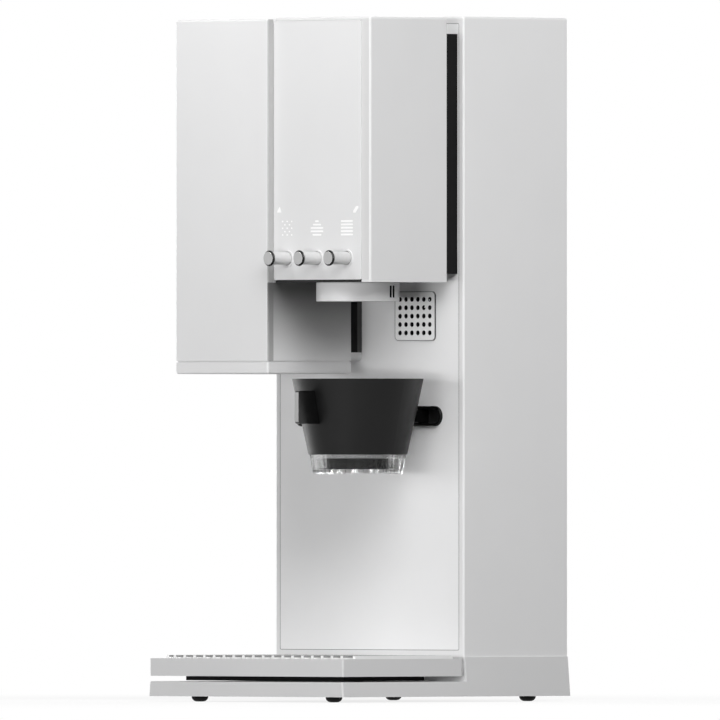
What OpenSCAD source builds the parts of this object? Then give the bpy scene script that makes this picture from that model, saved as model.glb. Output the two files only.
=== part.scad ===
// Automatic pour-over coffee maker: a slim tower with a grinder and a brew head side by side,
// a dripper on a travelling arm, and a drip tray that stands on a scale.
// Millimetres. +X is right, -Y is the front, +Z is up, and the feet stand on z = 0.

/* [Overall] */
// Width of the tower, and of the two heads together
body_w = 169.4; // [150:0.1:190]
// Height of the tower's top above the worktop
body_h = 435; // [405:0.5:470]
// Depth of the tower from its front wall to its back
tower_d = 94.2; // [88:0.1:115]
// Width of the base at the worktop
base_w = 175; // [172:0.5:190]
// How far the base reaches in front of the tower
base_reach = 111; // [104:0.5:125]

/* [Shells] */
// Wall of the sheet metal shells
shell_t = 1.6; // [1.2:0.1:2]
// Corner radius of the shells, seen from above
shell_r = 1.4; // [1:0.1:4]
// Soft edge around the top of each shell
soft_e = 1.2; // [0.6:0.1:1.6]
// Strip of shell that frames the tower's front and back panels
edge_w = 4.3; // [3.5:0.1:6]

/* [Base] */
// Height of the rubber feet
foot_h = 3.4; // [2.5:0.1:6]
// Radius of a rubber foot
foot_r = 5.3; // [4:0.1:8]
// Sideways distance of the feet from the middle
foot_x = 60.3; // [45:0.1:70]
// Distance of the front feet from the base's front
foot_front = 19; // [14:0.5:30]
// Distance of the rear feet from the base's back
foot_back = 12; // [10:0.5:25]
// Thickness of the base plate
plate_h = 9.5; // [9:0.1:14]
// Corner radius of the base
base_r = 1.2; // [1:0.1:8]
// Height of the block that carries the tower, above the base plate
block_h = 15.6; // [13:0.1:22]
// How much wider the block's top is than the tower, in all
block_step = 1.2; // [0.4:0.1:2]
// Wall and floor of the block
block_t = 4; // [3:0.1:5]
// Thickness of the bottom cover
cover_t = 2; // [1.5:0.1:2.2]
// Rim of the base around the bottom cover
cover_rim = 5; // [4:0.1:8]

/* [Scale and drip tray] */
// Gap between base plate and drip tray
scale_gap = 3.4; // [2.4:0.1:5]
// Height of the drip tray
tray_h = 11.2; // [9.5:0.1:16]
// Width of the drip tray
tray_w = 174; // [165:0.5:175]
// Gap between the tray's back and the tower block
tray_back_gap = 3.5; // [2:0.1:6]
// Rim of the tray at its sides
rim_side = 1.6; // [1.4:0.1:3]
// Rim of the tray at its front
rim_front = 10.5; // [6:0.1:14]
// Rim of the tray at its back
rim_back = 4.2; // [3:0.1:8]
// Floor of the tray
tray_floor = 2.2; // [1.6:0.1:3]
// How far the bars of the grille stand above the rim
bar_proud = 2; // [1:0.1:3]
// Width of a grille bar
bar_w = 2.4; // [1.8:0.1:3.5]
// Number of grille bars
bar_count = 20; // [14:1:22]
// Sideways inset of the dark carrier under the tray
carrier_inset = 15.5; // [10:0.5:30]

/* [Grinder] */
// Width of the grinder head
grinder_w = 83.5; // [80:0.1:90]
// How far the grinder head reaches in front of the tower
grinder_reach = 89.9; // [88:0.1:100]
// Height of the grinder head's underside
grinder_z = 208.3; // [195:0.1:215]
// Height of the band at its base
band_h = 8.2; // [7:0.1:12]
// How far its top lies below the tower's top
grinder_drop = 1.5; // [0:0.1:4]
// Radius of the bean hopper, inside
hopper_r = 28.5; // [24:0.1:29.5]
// Depth of the bean hopper
hopper_d = 56; // [45:0.5:60]
// Radius of the burrs
burr_r = 24; // [20:0.1:25]
// Radius of the grinder motor
motor_r = 19; // [15:0.1:19.5]
// Inside radius of the grounds outlet
outlet_r = 14.5; // [10:0.1:17]

/* [Brew head] */
// How far the brew head reaches in front of the tower
brew_reach = 83.9; // [80:0.1:88]
// Height of the brew head's underside
brew_z = 266.2; // [258:0.1:272]
// How far its top lies below the tower's top
brew_drop = 0.8; // [0:0.1:4]
// Gap between the two heads and the tower
neck_d = 14.5; // [10:0.1:18]
// How far the neck lies inside the heads' outline
neck_inset = 5.5; // [4:0.1:9]
// Seam between the two heads
head_seam = 0.3; // [0.2:0.05:1]
// Strip of casing to the right of the control panel
strip_w = 8; // [5:0.1:12]
// How far the control panel stands proud of the casing
panel_proud = 1; // [0:0.1:1.5]
// Radius of the shower head
shower_r = 26.4; // [20:0.1:32]
// Height of the shower head
shower_h = 12.1; // [9:0.1:16]

/* [Knobs] */
// Radius of a knob's barrel
knob_r = 4.1; // [3.8:0.1:5]
// Length of a knob in front of the panel
knob_len = 17.2; // [13:0.1:20]
// Radius of a knob's end cap
cap_r = 5; // [4.6:0.1:6]
// Length of a knob's end cap
cap_len = 1.6; // [1.4:0.1:3]
// Bevel around a knob's end face
cap_bevel = 1; // [0.4:0.1:1]
// Distance of the outer knobs from the control panel's edges
knob_edge = 11.95; // [9:0.05:14]
// Height of the knobs above the brew head's underside
knob_rise = 15.2; // [14:0.1:20]
// Height of the lit icons above the knobs
icon_rise = 19.2; // [18:0.1:26]
// How far a knob presses in
knob_press = 1; // [0.6:0.1:1.4]

/* [Dripper] */
// Distance of the dripper's axis from the tower
drip_reach = 52.1; // [50:0.1:56]
// Radius of the cone at its top
cone_top_r = 41.8; // [36:0.1:42]
// Radius of the cone at its bottom
cone_low_r = 31.4; // [27:0.1:33]
// Height of the cone
cone_h = 48.1; // [42:0.1:54]
// Wall of the cone
cone_t = 2.4; // [1.8:0.1:3]
// Gap between the cone and the grinder above it
drip_clear = 3.2; // [2:0.1:5]
// Height of the clear ring under the cone
ring_h = 12.4; // [10:0.1:16]
// Radius of the clear ring at its foot
ring_low_r = 28.4; // [25:0.1:30]
// Number of flutes around the clear ring
flute_count = 48; // [24:1:60]
// Distance of the handle's edge from the dripper's axis
handle_r = 55; // [50:0.1:57]
// Thickness of the handle
handle_t = 3.2; // [2.4:0.1:6]
// Height of the handle
handle_h = 21; // [16:0.1:24]

/* [Track] */
// Half of the track ring's length
track_half = 66; // [60:0.5:70]
// Height of the track ring
track_h = 12.9; // [12:0.1:16]
// Depth of the track below the dripper's top
track_drop = 23.7; // [22:0.1:27]
// Width of the arm that carries the dripper
arm_w = 13.3; // [10:0.1:18]
// How far the arm reaches in front of the tower
arm_reach = 13; // [11:0.1:14]

/* [Vent] */
// Width of the vent plate
vent_w = 36.2; // [34:0.1:42]
// Height of the vent plate
vent_h = 31.4; // [30:0.1:36]
// Height of the vent's middle below the brew head's underside
vent_drop = 21.2; // [20:0.1:24]
// Diameter of a vent hole
vent_hole = 3.1; // [2.4:0.1:3.6]
// Distance from vent hole to vent hole
vent_pitch = 5.33; // [4.8:0.01:5.5]

/* [Water tank] */
// Depth of the tank, front to back
tank_d = 48; // [40:0.1:49]
// Height of the tank below its lid
tank_h = 134; // [110:0.5:140]
// Wall of the tank
tank_t = 2.2; // [1.6:0.1:3]
// Height of the tank's lid
lid_h = 8; // [6:0.1:10]

/* [Fits] */
// Gap between pieces that are fixed beside each other
fit = 0.15; // [0.1:0.05:0.2]
// Radial gap of a running shaft
run = 0.05; // [0.02:0.01:0.08]
// Gap between pieces that move apart
clear = 0.35; // [0.3:0.05:0.4]

/* [Hidden] */
$fn = 64;
eps = 0.01;
hull_fn = 32;

shell_grey = "#d6d7d8";
panel_white = "#e6e7e8";
silver = "#b9bbbd";
black = "#141415";
dark_grey = "#4a4b4d";
clear_plastic = "#cfd6da";
board_green = "#2f5a45";
rubber = "#1e1e1f";

// The base and the tower
half = body_w / 2;
base_d = base_reach + tower_d;
front_y = -base_d / 2;
back_y = base_d / 2;
wall_y = back_y - tower_d;
plate_z = foot_h;
deck_z = plate_z + plate_h;
tray_z = deck_z + scale_gap;
rim_z = tray_z + tray_h;
block_z = deck_z + block_h;
draft = (base_w - body_w - block_step) / 2 / (block_z - plate_z);
screw_r = 1.5;
screw_head_r = 2.8;
screw_head_h = 1.3;
screw_len = 5.5;
screw_in = 14;

// The scale and the tray
tray_front = front_y + 0.4;
tray_back = wall_y - tray_back_gap;
tray_y = (tray_front + tray_back) / 2;
tray_r = 1.2;
well_h = plate_h - cover_t - 1.1;
cell_l = 80;
cell_w = 12;
cell_h = 5;
cell_pad = 1;
carrier_z = deck_z + 0.6;
seat_z = rim_z - 3;
seat_w = 2.5;
grille_x = tray_w / 2 - rim_side - clear;
grille_front = tray_front + rim_front + clear;
grille_back = tray_back - rim_back - clear;
bar_pitch = (2 * grille_x - bar_w) / (bar_count - 1);

// The tower's panels
win_x = half - edge_w;
win_low = block_z + edge_w;
win_top = body_h - edge_w;
lip = 2;
panel_back = wall_y + 2 * shell_t;

// The two heads
head_back = wall_y - neck_d;
grinder_front = wall_y - grinder_reach;
grinder_top = body_h - grinder_drop;
grind_y = (grinder_front + head_back) / 2;
split_x = -half + grinder_w;
grind_x = -half + grinder_w / 2;
band_z = grinder_z + band_h;
brew_left = split_x + head_seam;
brew_front = wall_y - brew_reach;
brew_top = body_h - brew_drop;
brew_x = (split_x + half) / 2;
drip_y = wall_y - drip_reach;
neck_top = body_h - 11;
neck_low = brew_z + neck_inset;
shelf_top = band_z + neck_inset;
neck_x = half - neck_inset;

// The grinder
hopper_t = 1.6;
flange_w = 3;
flange_t = 1.4;
seat_depth = 4;
lid_t = seat_depth - flange_t - 0.3;
hopper_seat = grinder_top - seat_depth;
throat_r = 10;
throat_z = hopper_seat - hopper_d;
throat_len = 12;
hopper_slope = 24;
chamber_h = 24;
chamber_r = burr_r + 2.5;
housing_t = 3.5;
burr_h = 6;
burr_gap = 0.4;
chamber_top = throat_z - throat_len;
chamber_z = chamber_top - chamber_h;
deck_t = 3;
chassis_z = chamber_z - deck_t;
motor_h = 66;
shaft_r = 4;
shaft_in = 13;
paddle_w = 4;
chute_w = 11;
chute_t = 1.5;
chute_back = grind_y - motor_r - 0.8;
chute_front = grinder_front + shell_t + 0.4;
slope_z = chassis_z - motor_h - 3;
outlet_z = band_z + 14;

// The control panel and the knobs
panel_front = brew_front - panel_proud;
panel_t = 3;
panel_in = panel_front + panel_t;
panel_x0 = brew_left + 0.1;
panel_x1 = half - strip_w;
panel_z0 = brew_z + 1.6;
panel_z1 = brew_top - 2.2;
panel_x = (panel_x0 + panel_x1) / 2;
face_t = 4;
knob_z = brew_z + knob_rise;
icon_z = knob_z + icon_rise;
knob_x = [panel_x0 + knob_edge, panel_x, panel_x1 - knob_edge];
plunger_r = 3;
plunger_out = knob_len - 6;
encoder_d = 10;
encoder_w = 13;
encoder_gap = 3;
encoder_y = panel_in + encoder_gap;
board_y = encoder_y + encoder_d;
board_t = 1.6;
plunger_in = encoder_d - 0.5 - knob_press - 0.5;
post_r = 2.2;
post_x = [panel_x0 + 6.5, panel_x1 - 6.5];
board_low = knob_z - encoder_w / 2 - 1.6;
board_top = icon_z + 18;
post_z = board_top - 3.5;
guide_w = 12;
guide_h = 10.5;
collar_r = cap_r + 0.5;
collar_t = 0.4;

// The water path
heater_w = 44;
heater_d = 26;
heater_h = 80;
fin_t = 4;
heater_gap = 20;
heater_z = brew_top - shell_t - heater_gap - heater_h;
heater_back = head_back - shell_t;
hose_r = 3.5;
hose_in = 2.2;
bend_r = 8;
inlet_top = heater_z + heater_h - 16;
riser_in = 36;
riser_y = wall_y + riser_in;
nozzle_r = 5;
nozzle_flange = 9;
nozzle_top = brew_z + shell_t + 14;
tank_back = back_y - 0.6;
tank_front = tank_back - tank_d;
tank_x = win_x - 1;
tank_top = body_h - lid_h;
tank_z = tank_top - tank_h;
dock_t = 4;
dock_top = tank_z - clear;
dock_z = dock_top - dock_t;
valve_x = 40;
valve_y = (tank_front + tank_back) / 2;
valve_r = 6;
valve_len = 9;
dock_boss = 9;
dock_boss_h = 14;
floor_z = deck_z + block_t;
pump_w = 42;
pump_d = 34;
pump_h = 52;
lid_front = tank_front - 3;
grip_w = 60;
grip_d = 20;
grip_r = 8;
grip_deep = 5;

// The dripper, its arm and the track
cone_top = grinder_z - drip_clear;
cone_z = cone_top - cone_h;
ring_z = cone_z - ring_h;
ring_top_r = cone_low_r - 0.7;
ring_t = 2.2;
ring_floor = 2;
drip_hole = 2.6;
drip_ring = 14;
drip_centre = 4;
drip_groove = 1.6;
insert_h = 7;
rib_count = 16;
rib_w = 1.4;
rib_h = 30;
rib_proud = 1.1;
track_z = cone_top - track_drop;
bezel_w = 1.75;
bezel_proud = 1.5;
slot_r = track_h / 2 - bezel_w;
slot_half = track_half - bezel_w;
sleeve_t = 0.9;
arm_h = 2 * (slot_r - clear);
arm_front = wall_y - arm_reach;
lug_w = 18;
lug_h = 13;
lug_end = drip_reach - arm_reach - 0.2;
pin_r = 1.4;
pin_len = 1.6;
pin_x = 4;
block_y = wall_y + 5;
block_d = 22;
block_w = 34;
block_zh = 34;
rod_r = 3;
rod_gap = 11;
rods_y = block_y + block_d / 2;
screw_rod_r = 3.5;
journal_r = 3;
bracket_t = 6;
bracket_back = 9;
rod_fit = 0.1;
bracket_x = brew_x + block_w / 2 + 5;
motor_w = 28;
vent_z = brew_z - vent_drop;
fan_w = 30;
fan_d = 10;
fan_r = 13.8;
inlet_in = 34.7;
inlet_x = -half + inlet_in;
inlet_z = 62;
inlet_w = 28;
inlet_hh = 20;
inlet_d = 20;
inlet_t = 2;
inlet_flange = 3;
pin_w = 2;
pin_h = 4;
pin_gap = 7;
pin_short = 6;

// The electrics in the tower
stand_off = 8;
main_in = 10.7;
main_w = 68;
main_h = 110;
main_x1 = half - main_in;
main_x0 = main_x1 - main_w;
main_rise = 50;
main_z = win_low + main_rise;
main_post_x = 8;
main_post_z = 10;
main_post_r = 3;
chip_w = 12;
chip_h = 14;
chip_d = 6;
chip_step_x = 18;
chip_step_z = 22;
psu_in = 12;
psu_gap = 16;
psu_w = 66.7;
psu_d = 46;
psu_h = 58;
psu_slot_w = 3;
psu_slot_step = 7;
slot_in = 18.7;
slot_w = 32;
slot_h = 3;
slot_step = 7;
slot_count = 7;
slot_drop = 26;

// Shared shapes

// A rectangle with round corners, centred
module rrect(w, d, r) {
    square([w - 2 * r, d], center = true);
    square([w, d - 2 * r], center = true);
    for (x = [-1, 1], y = [-1, 1]) translate([x * (w / 2 - r), y * (d / 2 - r)]) circle(r);
}

// A box between two corners
module box(x0, x1, y0, y1, z0, z1) translate([x0, y0, z0]) cube([x1 - x0, y1 - y0, z1 - z0]);

// An upright prism with round corners
module rbox(x0, x1, y0, y1, z0, z1, r)
    translate([(x0 + x1) / 2, (y0 + y1) / 2, z0]) linear_extrude(z1 - z0) rrect(x1 - x0, y1 - y0, r);

// A plate that faces the front, with round corners
module rplate(x0, x1, z0, z1, y0, y1, r)
    translate([(x0 + x1) / 2, y1, (z0 + z1) / 2]) rotate([90, 0, 0])
        linear_extrude(y1 - y0) rrect(x1 - x0, z1 - z0, r);

// An upright prism whose top edge is rounded over
module soft_block(x0, x1, y0, y1, z0, z1, r, e) hull() {
    rbox(x0, x1, y0, y1, z0, z1 - e, r, $fn = hull_fn);
    rbox(x0 + 0.3 * e, x1 - 0.3 * e, y0 + 0.3 * e, y1 - 0.3 * e, z0, z1 - 0.3 * e, r, $fn = hull_fn);
    rbox(x0 + e, x1 - e, y0 + e, y1 - e, z0, z1, r - 0.3 * e, $fn = hull_fn);
}

// Cylinders along each axis, from one coordinate to another
module rod_x(y, z, x0, x1, r) translate([x0, y, z]) rotate([0, 90, 0]) cylinder(r = r, h = x1 - x0);
module rod_y(x, z, y0, y1, r) translate([x, y0, z]) rotate([-90, 0, 0]) cylinder(r = r, h = y1 - y0);
module rod_z(x, y, z0, z1, r) translate([x, y, z0]) cylinder(r = r, h = z1 - z0);

// A long hole or bar with round ends along X, that faces the front
module stadium(half_l, r, y0, y1)
    translate([0, y1, track_z]) rotate([90, 0, 0]) linear_extrude(y1 - y0) {
        square([2 * (half_l - r), 2 * r], center = true);
        for (s = [-1, 1]) translate([s * (half_l - r), 0]) circle(r);
    }

// A hose's section, a straight length of it along Y or Z, and a quarter bend in a plane across X
module hose_ring() difference() {
    circle(hose_r);
    circle(hose_in);
}
module hose_y(x, z, y0, y1) translate([x, y0, z]) rotate([-90, 0, 0]) linear_extrude(y1 - y0) hose_ring();
module hose_z(x, y, z0, z1) translate([x, y, z0]) linear_extrude(z1 - z0) hose_ring();
module hose_bend(x, y, z, turn) translate([x, y, z]) rotate([90, 0, 90]) rotate(turn)
    rotate_extrude(angle = 90) translate([bend_r, 0]) hose_ring();

// The base outline at a height, drawn in a little towards the top
module drafted(y0, y1, z0, z1) hull() for (z = [z0, z1 - eps])
    translate([0, (y0 + y1) / 2, z]) linear_extrude(eps)
        rrect(base_w - 2 * draft * (z - plate_z), y1 - y0, base_r, $fn = hull_fn);

// Places its children at the four cover screws
module at_screws() for (x = [-1, 1], y = [front_y + screw_in, back_y - screw_in])
    translate([x * (base_w / 2 - screw_in), y, 0]) children();

// Places its children on the dripper's axis, or on the grinder's
module at_dripper() translate([brew_x, drip_y, 0]) children();
module at_grinder() translate([grind_x, grind_y, 0]) children();

// The base

module base_plate() color(shell_grey) difference() {
    drafted(front_y, back_y, plate_z, deck_z);
    rbox(-base_w / 2 + cover_rim, base_w / 2 - cover_rim, front_y + cover_rim, back_y - cover_rim,
        plate_z - 1, plate_z + cover_t, 3);
    box(-cell_l / 2 - 2, cell_l / 2 + 2, tray_y - cell_w / 2 - 2, tray_y + cell_w / 2 + 2, deck_z - well_h,
        deck_z + 1);
    at_screws() rod_z(0, 0, plate_z, plate_z + cover_t + screw_len - 0.5, screw_r + fit);
}

module tower_foot() color(shell_grey) difference() {
    drafted(wall_y, back_y, deck_z, block_z);
    box(-half + block_t + 1, half - block_t - 1, wall_y + block_t, back_y - block_t, floor_z, block_z + 1);
}

module bottom_cover() color(dark_grey) difference() {
    rbox(-base_w / 2 + cover_rim + fit, base_w / 2 - cover_rim - fit, front_y + cover_rim + fit,
        back_y - cover_rim - fit, plate_z, plate_z + cover_t, 3 - fit);
    at_screws() {
        rod_z(0, 0, plate_z - 1, plate_z + cover_t + 1, screw_r + fit);
        rod_z(0, 0, plate_z - 1, plate_z + screw_head_h, screw_head_r + fit);
    }
    for (x = [-10 : 2 : 10]) translate([3 * x, tray_y, 0])
        rbox(-1, 1, -12, 12, plate_z - 1, plate_z + cover_t + 1, 0.9);
}

module rubber_feet() color(rubber)
    for (x = [-foot_x, foot_x], y = [front_y + foot_front, back_y - foot_back]) translate([x, y, 0])
        rotate_extrude() {
            square([foot_r - foot_h / 2, foot_h]);
            translate([0, foot_h / 2]) square([foot_r, foot_h / 2]);
            intersection() {
                translate([foot_r - foot_h / 2, foot_h / 2]) circle(foot_h / 2);
                square([foot_r, foot_h]);
            }
        }

module cover_screws() color(silver) at_screws() difference() {
    union() {
        rod_z(0, 0, plate_z + 0.1, plate_z + screw_head_h, screw_head_r);
        rod_z(0, 0, plate_z + screw_head_h, plate_z + cover_t + screw_len - 1, screw_r);
    }
    for (a = [0, 90]) rotate(a) box(-1.7, 1.7, -0.35, 0.35, plate_z, plate_z + 0.8);
}

module load_cell() color(silver) {
    low = deck_z - well_h;
    difference() {
        union() {
            box(-cell_l / 2, cell_l / 2, tray_y - cell_w / 2, tray_y + cell_w / 2, low + cell_pad,
                low + cell_pad + cell_h);
            box(-cell_l / 2, -cell_l / 2 + 14, tray_y - cell_w / 2, tray_y + cell_w / 2, low, low + cell_pad);
            box(cell_l / 2 - 14, cell_l / 2, tray_y - cell_w / 2, tray_y + cell_w / 2,
                low + cell_pad + cell_h, carrier_z);
        }
        for (x = [-8, 8]) rod_y(x, low + cell_pad + cell_h / 2, tray_y - cell_w, tray_y + cell_w, 1.8);
        box(-8, 8, tray_y - cell_w, tray_y + cell_w, low + cell_pad + cell_h / 2 - 0.8,
            low + cell_pad + cell_h / 2 + 0.8);
    }
}

module scale_carrier() color(black)
    rbox(-tray_w / 2 + carrier_inset, tray_w / 2 - carrier_inset, tray_front + carrier_inset, wall_y - 20.4,
        carrier_z, tray_z - 0.2, 3);

module drip_tray() color(shell_grey) difference() {
    rbox(-tray_w / 2, tray_w / 2, tray_front, tray_back, tray_z, rim_z, tray_r);
    rbox(-tray_w / 2 + rim_side, tray_w / 2 - rim_side, tray_front + rim_front, tray_back - rim_back,
        seat_z, rim_z + 1, 2.6);
    rbox(-tray_w / 2 + rim_side + seat_w, tray_w / 2 - rim_side - seat_w, tray_front + rim_front + seat_w,
        tray_back - rim_back - seat_w, tray_z + tray_floor, rim_z + 1, 2);
}

module drip_grille() color(silver) {
    low = seat_z + 0.2;
    frame = 3.5;
    difference() {
        rbox(-grille_x, grille_x, grille_front, grille_back, low, rim_z - 0.2, 2.2);
        rbox(-grille_x + frame, grille_x - frame, grille_front + frame, grille_back - frame, low - 1,
            rim_z + 1, 1.5);
    }
    for (i = [0 : bar_count - 1]) {
        x = -grille_x + i * bar_pitch;
        box(x, x + bar_w, grille_front + (i == 0 || i == bar_count - 1 ? 2.2 : 0),
            grille_back - (i == 0 || i == bar_count - 1 ? 2.2 : 0), low + 0.8, rim_z + bar_proud);
    }
    for (k = [1, 2]) {
        y = grille_front + k * (grille_back - grille_front) / 3;
        box(-grille_x + 1, grille_x - 1, y - 1.2, y + 1.2, low, rim_z - 0.4);
    }
}

// The tower

module tower_shell() color(shell_grey) difference() {
    soft_block(-half, half, wall_y, back_y, block_z, body_h, shell_r, soft_e);
    box(-half + shell_t, half - shell_t, wall_y + shell_t, back_y - shell_t, block_z - 1, body_h - shell_t);
    box(-win_x, win_x, wall_y - 1, wall_y + shell_t + 1, win_low, win_top);
    box(-win_x, win_x, back_y - shell_t - 1, back_y + 1, win_low, body_h + 1);
    box(-win_x, win_x, lid_front, back_y + 1, body_h - shell_t - 1, body_h + 1);
}

module front_panel() color(panel_white) difference() {
    union() {
        rplate(-win_x + fit, win_x - fit, win_low + fit, win_top - fit, wall_y, wall_y + shell_t, 0.8);
        rplate(-win_x - lip, win_x + lip, win_low - lip, win_top + lip - 0.4, wall_y + shell_t, panel_back,
            0.8);
    }
    stadium(slot_half + sleeve_t + fit, slot_r + sleeve_t + fit, wall_y - 1, panel_back + 1);
    rplate(brew_x - vent_w / 2 + 3, brew_x + vent_w / 2 - 3, vent_z - vent_h / 2 + 3, vent_z + vent_h / 2 - 3,
        wall_y - 1, panel_back + 1, 1.5);
    rod_y(valve_x, inlet_top, wall_y - 1, panel_back + 1, hose_r + fit);
    rod_y(grind_x, inlet_top, wall_y - 1, panel_back + 1, 6);
}

module back_cover() color(shell_grey) difference() {
    inner = back_y - 2 * shell_t;
    union() {
        rplate(-win_x + fit, win_x - fit, win_low + fit, dock_top, back_y - shell_t, back_y, 0.8);
        rplate(-win_x - lip, win_x + lip, win_low - lip, dock_z, inner, back_y - shell_t, 0.8);
        for (x = [main_x0 + main_post_x, main_x1 - main_post_x],
            z = [main_z + main_post_z, main_z + main_h - main_post_z])
            rod_y(x, z, inner - stand_off, inner, main_post_r);
    }
    box(inlet_x - inlet_w / 2 - fit, inlet_x + inlet_w / 2 + fit, inner - 1, back_y + 1,
        inlet_z - inlet_hh / 2 - fit, inlet_z + inlet_hh / 2 + fit);
    for (i = [0 : slot_count - 1]) translate([-half + slot_in, 0, dock_z - slot_drop - slot_step * i])
        rplate(0, slot_w, 0, slot_h, inner - 1, back_y + 1, 0.47 * slot_h);
}

module track_bezel() color(black) difference() {
    union() {
        stadium(track_half, track_h / 2, wall_y - bezel_proud, wall_y);
        stadium(track_half - 0.4, track_h / 2 - 0.4, wall_y - bezel_proud - 0.4, wall_y - bezel_proud);
        stadium(slot_half + sleeve_t, slot_r + sleeve_t, wall_y, panel_back);
    }
    stadium(slot_half, slot_r, wall_y - bezel_proud - 1, panel_back + 1);
}

module vent_grille() color(panel_white) difference() {
    rplate(brew_x - vent_w / 2, brew_x + vent_w / 2, vent_z - vent_h / 2, vent_z + vent_h / 2, wall_y - 0.8,
        wall_y, 3);
    for (i = [0 : 5], j = [0 : 4])
        rod_y(brew_x + (i - 2.5) * vent_pitch, vent_z + (j - 2) * vent_pitch, wall_y - 2, wall_y + 1,
            vent_hole / 2);
}

module fan_frame() color(black) {
    back = panel_back + fan_d;
    web = 1.5;
    difference() {
        rplate(brew_x - fan_w / 2, brew_x + fan_w / 2, vent_z - fan_w / 2, vent_z + fan_w / 2, panel_back,
            back, 2);
        rod_y(brew_x, vent_z, panel_back - 1, back - web, fan_r);
        difference() {
            rod_y(brew_x, vent_z, back - web - 1, back + 1, fan_r);
            rod_y(brew_x, vent_z, back - web - 2, back + 2, 5);
            for (i = [0 : 2]) translate([brew_x, 0, vent_z]) rotate([0, 90 + i * 120, 0])
                box(0, fan_r + 2, back - web - 2, back + 2, -1.2, 1.2);
        }
    }
    rod_y(brew_x, vent_z, panel_back + 3, back - web, 1.5);
}

module fan_rotor() color(dark_grey) difference() {
    union() {
        rod_y(brew_x, vent_z, panel_back + 1.5, panel_back + fan_d - 2, 5.5);
        for (i = [0 : 6]) translate([brew_x, panel_back + 5, vent_z]) rotate([0, i * 360 / 7, 0])
            rotate([35, 0, 0]) box(4.5, fan_r - 0.6, -0.5, 0.5, -2.4, 2.4);
    }
    rod_y(brew_x, vent_z, panel_back + 2.5, panel_back + fan_d, 1.5 + run);
}

module neck() color(black) difference() {
    union() {
        box(-neck_x, neck_x, head_back, wall_y, neck_low, neck_top);
        box(-neck_x, split_x - neck_inset, head_back, wall_y, shelf_top, neck_low);
    }
    rod_y(valve_x, inlet_top, head_back - 1, wall_y + 1, hose_r + fit);
    rod_y(grind_x, inlet_top, head_back - 1, wall_y + 1, 6);
}

module neck_shelf() color(shell_grey) intersection() {
    rplate(-neck_x, split_x - neck_inset, band_z + 0.3, shelf_top + 8, head_back, wall_y, 2.5);
    box(-half, split_x, head_back - 1, wall_y + 1, band_z, shelf_top);
}

// The grinder head

module grinder_casing() color(panel_white) difference() {
    soft_block(-half, split_x, grinder_front, head_back, band_z, grinder_top, shell_r, soft_e);
    difference() {
        box(-half + shell_t, split_x - shell_t, grinder_front + shell_t, head_back - shell_t, band_z - 1,
            grinder_top - shell_t);
        at_grinder() rod_z(0, 0, hopper_seat - 2, grinder_top, hopper_r + hopper_t + flange_w + 1.8);
    }
    at_grinder() {
        rod_z(0, 0, hopper_seat, grinder_top + 1, hopper_r + hopper_t + flange_w + clear);
        rod_z(0, 0, hopper_seat - 3, hopper_seat + 1, hopper_r + hopper_t + fit);
    }
    rod_y(grind_x, inlet_top, head_back - shell_t - 1, head_back + 1, 6);
}

module grinder_base() color(shell_grey) difference() {
    groove = 0.8;
    union() {
        rbox(-half, split_x, grinder_front, head_back, grinder_z + 0.6, band_z - groove, shell_r);
        rbox(-half + 0.5, split_x - 0.5, grinder_front + 0.5, head_back - 0.5, grinder_z, grinder_z + 0.6,
            shell_r);
        rbox(-half + groove, split_x - groove, grinder_front + groove, head_back - groove, band_z - groove,
            band_z, shell_r);
    }
    box(-half + 4, split_x - 4, grinder_front + 4, head_back - 4, grinder_z + 2.6, band_z + 1);
    translate([grind_x, drip_y, 0]) rod_z(0, 0, grinder_z - 1, band_z, outlet_r + chute_t + fit);
}

module bean_hopper() color(clear_plastic) at_grinder() rotate_extrude() polygon([
    [throat_r, chamber_top + 1],
    [throat_r + hopper_t, chamber_top + 1],
    [throat_r + hopper_t, throat_z],
    [hopper_r + hopper_t, throat_z + hopper_slope],
    [hopper_r + hopper_t, hopper_seat],
    [hopper_r + hopper_t + flange_w, hopper_seat],
    [hopper_r + hopper_t + flange_w, hopper_seat + flange_t],
    [hopper_r, hopper_seat + flange_t],
    [hopper_r, throat_z + hopper_slope + 0.6],
    [throat_r, throat_z + 0.6]
]);

module hopper_lid() color(panel_white) at_grinder() difference() {
    low = hopper_seat + flange_t + 0.2;
    union() {
        rod_z(0, 0, low, low + lid_t, hopper_r + hopper_t + flange_w);
        difference() {
            rod_z(0, 0, low - 5, low, hopper_r - clear);
            rod_z(0, 0, low - 6, low, hopper_r - clear - 2);
        }
    }
    translate([0, -hopper_r - 2, low + lid_t + 10]) sphere(11.4);
}

module burr_housing() color(silver) difference() {
    union() {
        box(-half + shell_t, split_x - shell_t, grinder_front + shell_t, head_back - shell_t, chassis_z,
            chamber_z);
        at_grinder() rod_z(0, 0, chamber_z, chamber_top + 5, chamber_r + housing_t);
    }
    at_grinder() {
        rod_z(0, 0, chamber_z, chamber_top, chamber_r);
        rod_z(0, 0, chamber_top - 1, chamber_top + 6, throat_r + hopper_t + fit);
        rod_z(0, 0, chassis_z - 1, chamber_z + 1, shaft_r + run);
    }
    box(grind_x - 8, grind_x + 8, grind_y - chamber_r + 0.5, chute_back - chute_t, chassis_z - 1,
        chamber_z + 1);
}

module ring_burr() color(silver) at_grinder() difference() {
    rod_z(0, 0, chamber_top - burr_h, chamber_top, burr_r);
    rod_z(0, 0, chamber_top - burr_h - 1, chamber_top + 1, throat_r + 2);
    for (i = [0 : 11]) rotate(i * 30) translate([burr_r - 6, 0, 0])
        rotate(20) box(-9, 9, -0.7, 0.7, chamber_top - burr_h - 1, chamber_top - burr_h + 1);
}

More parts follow.
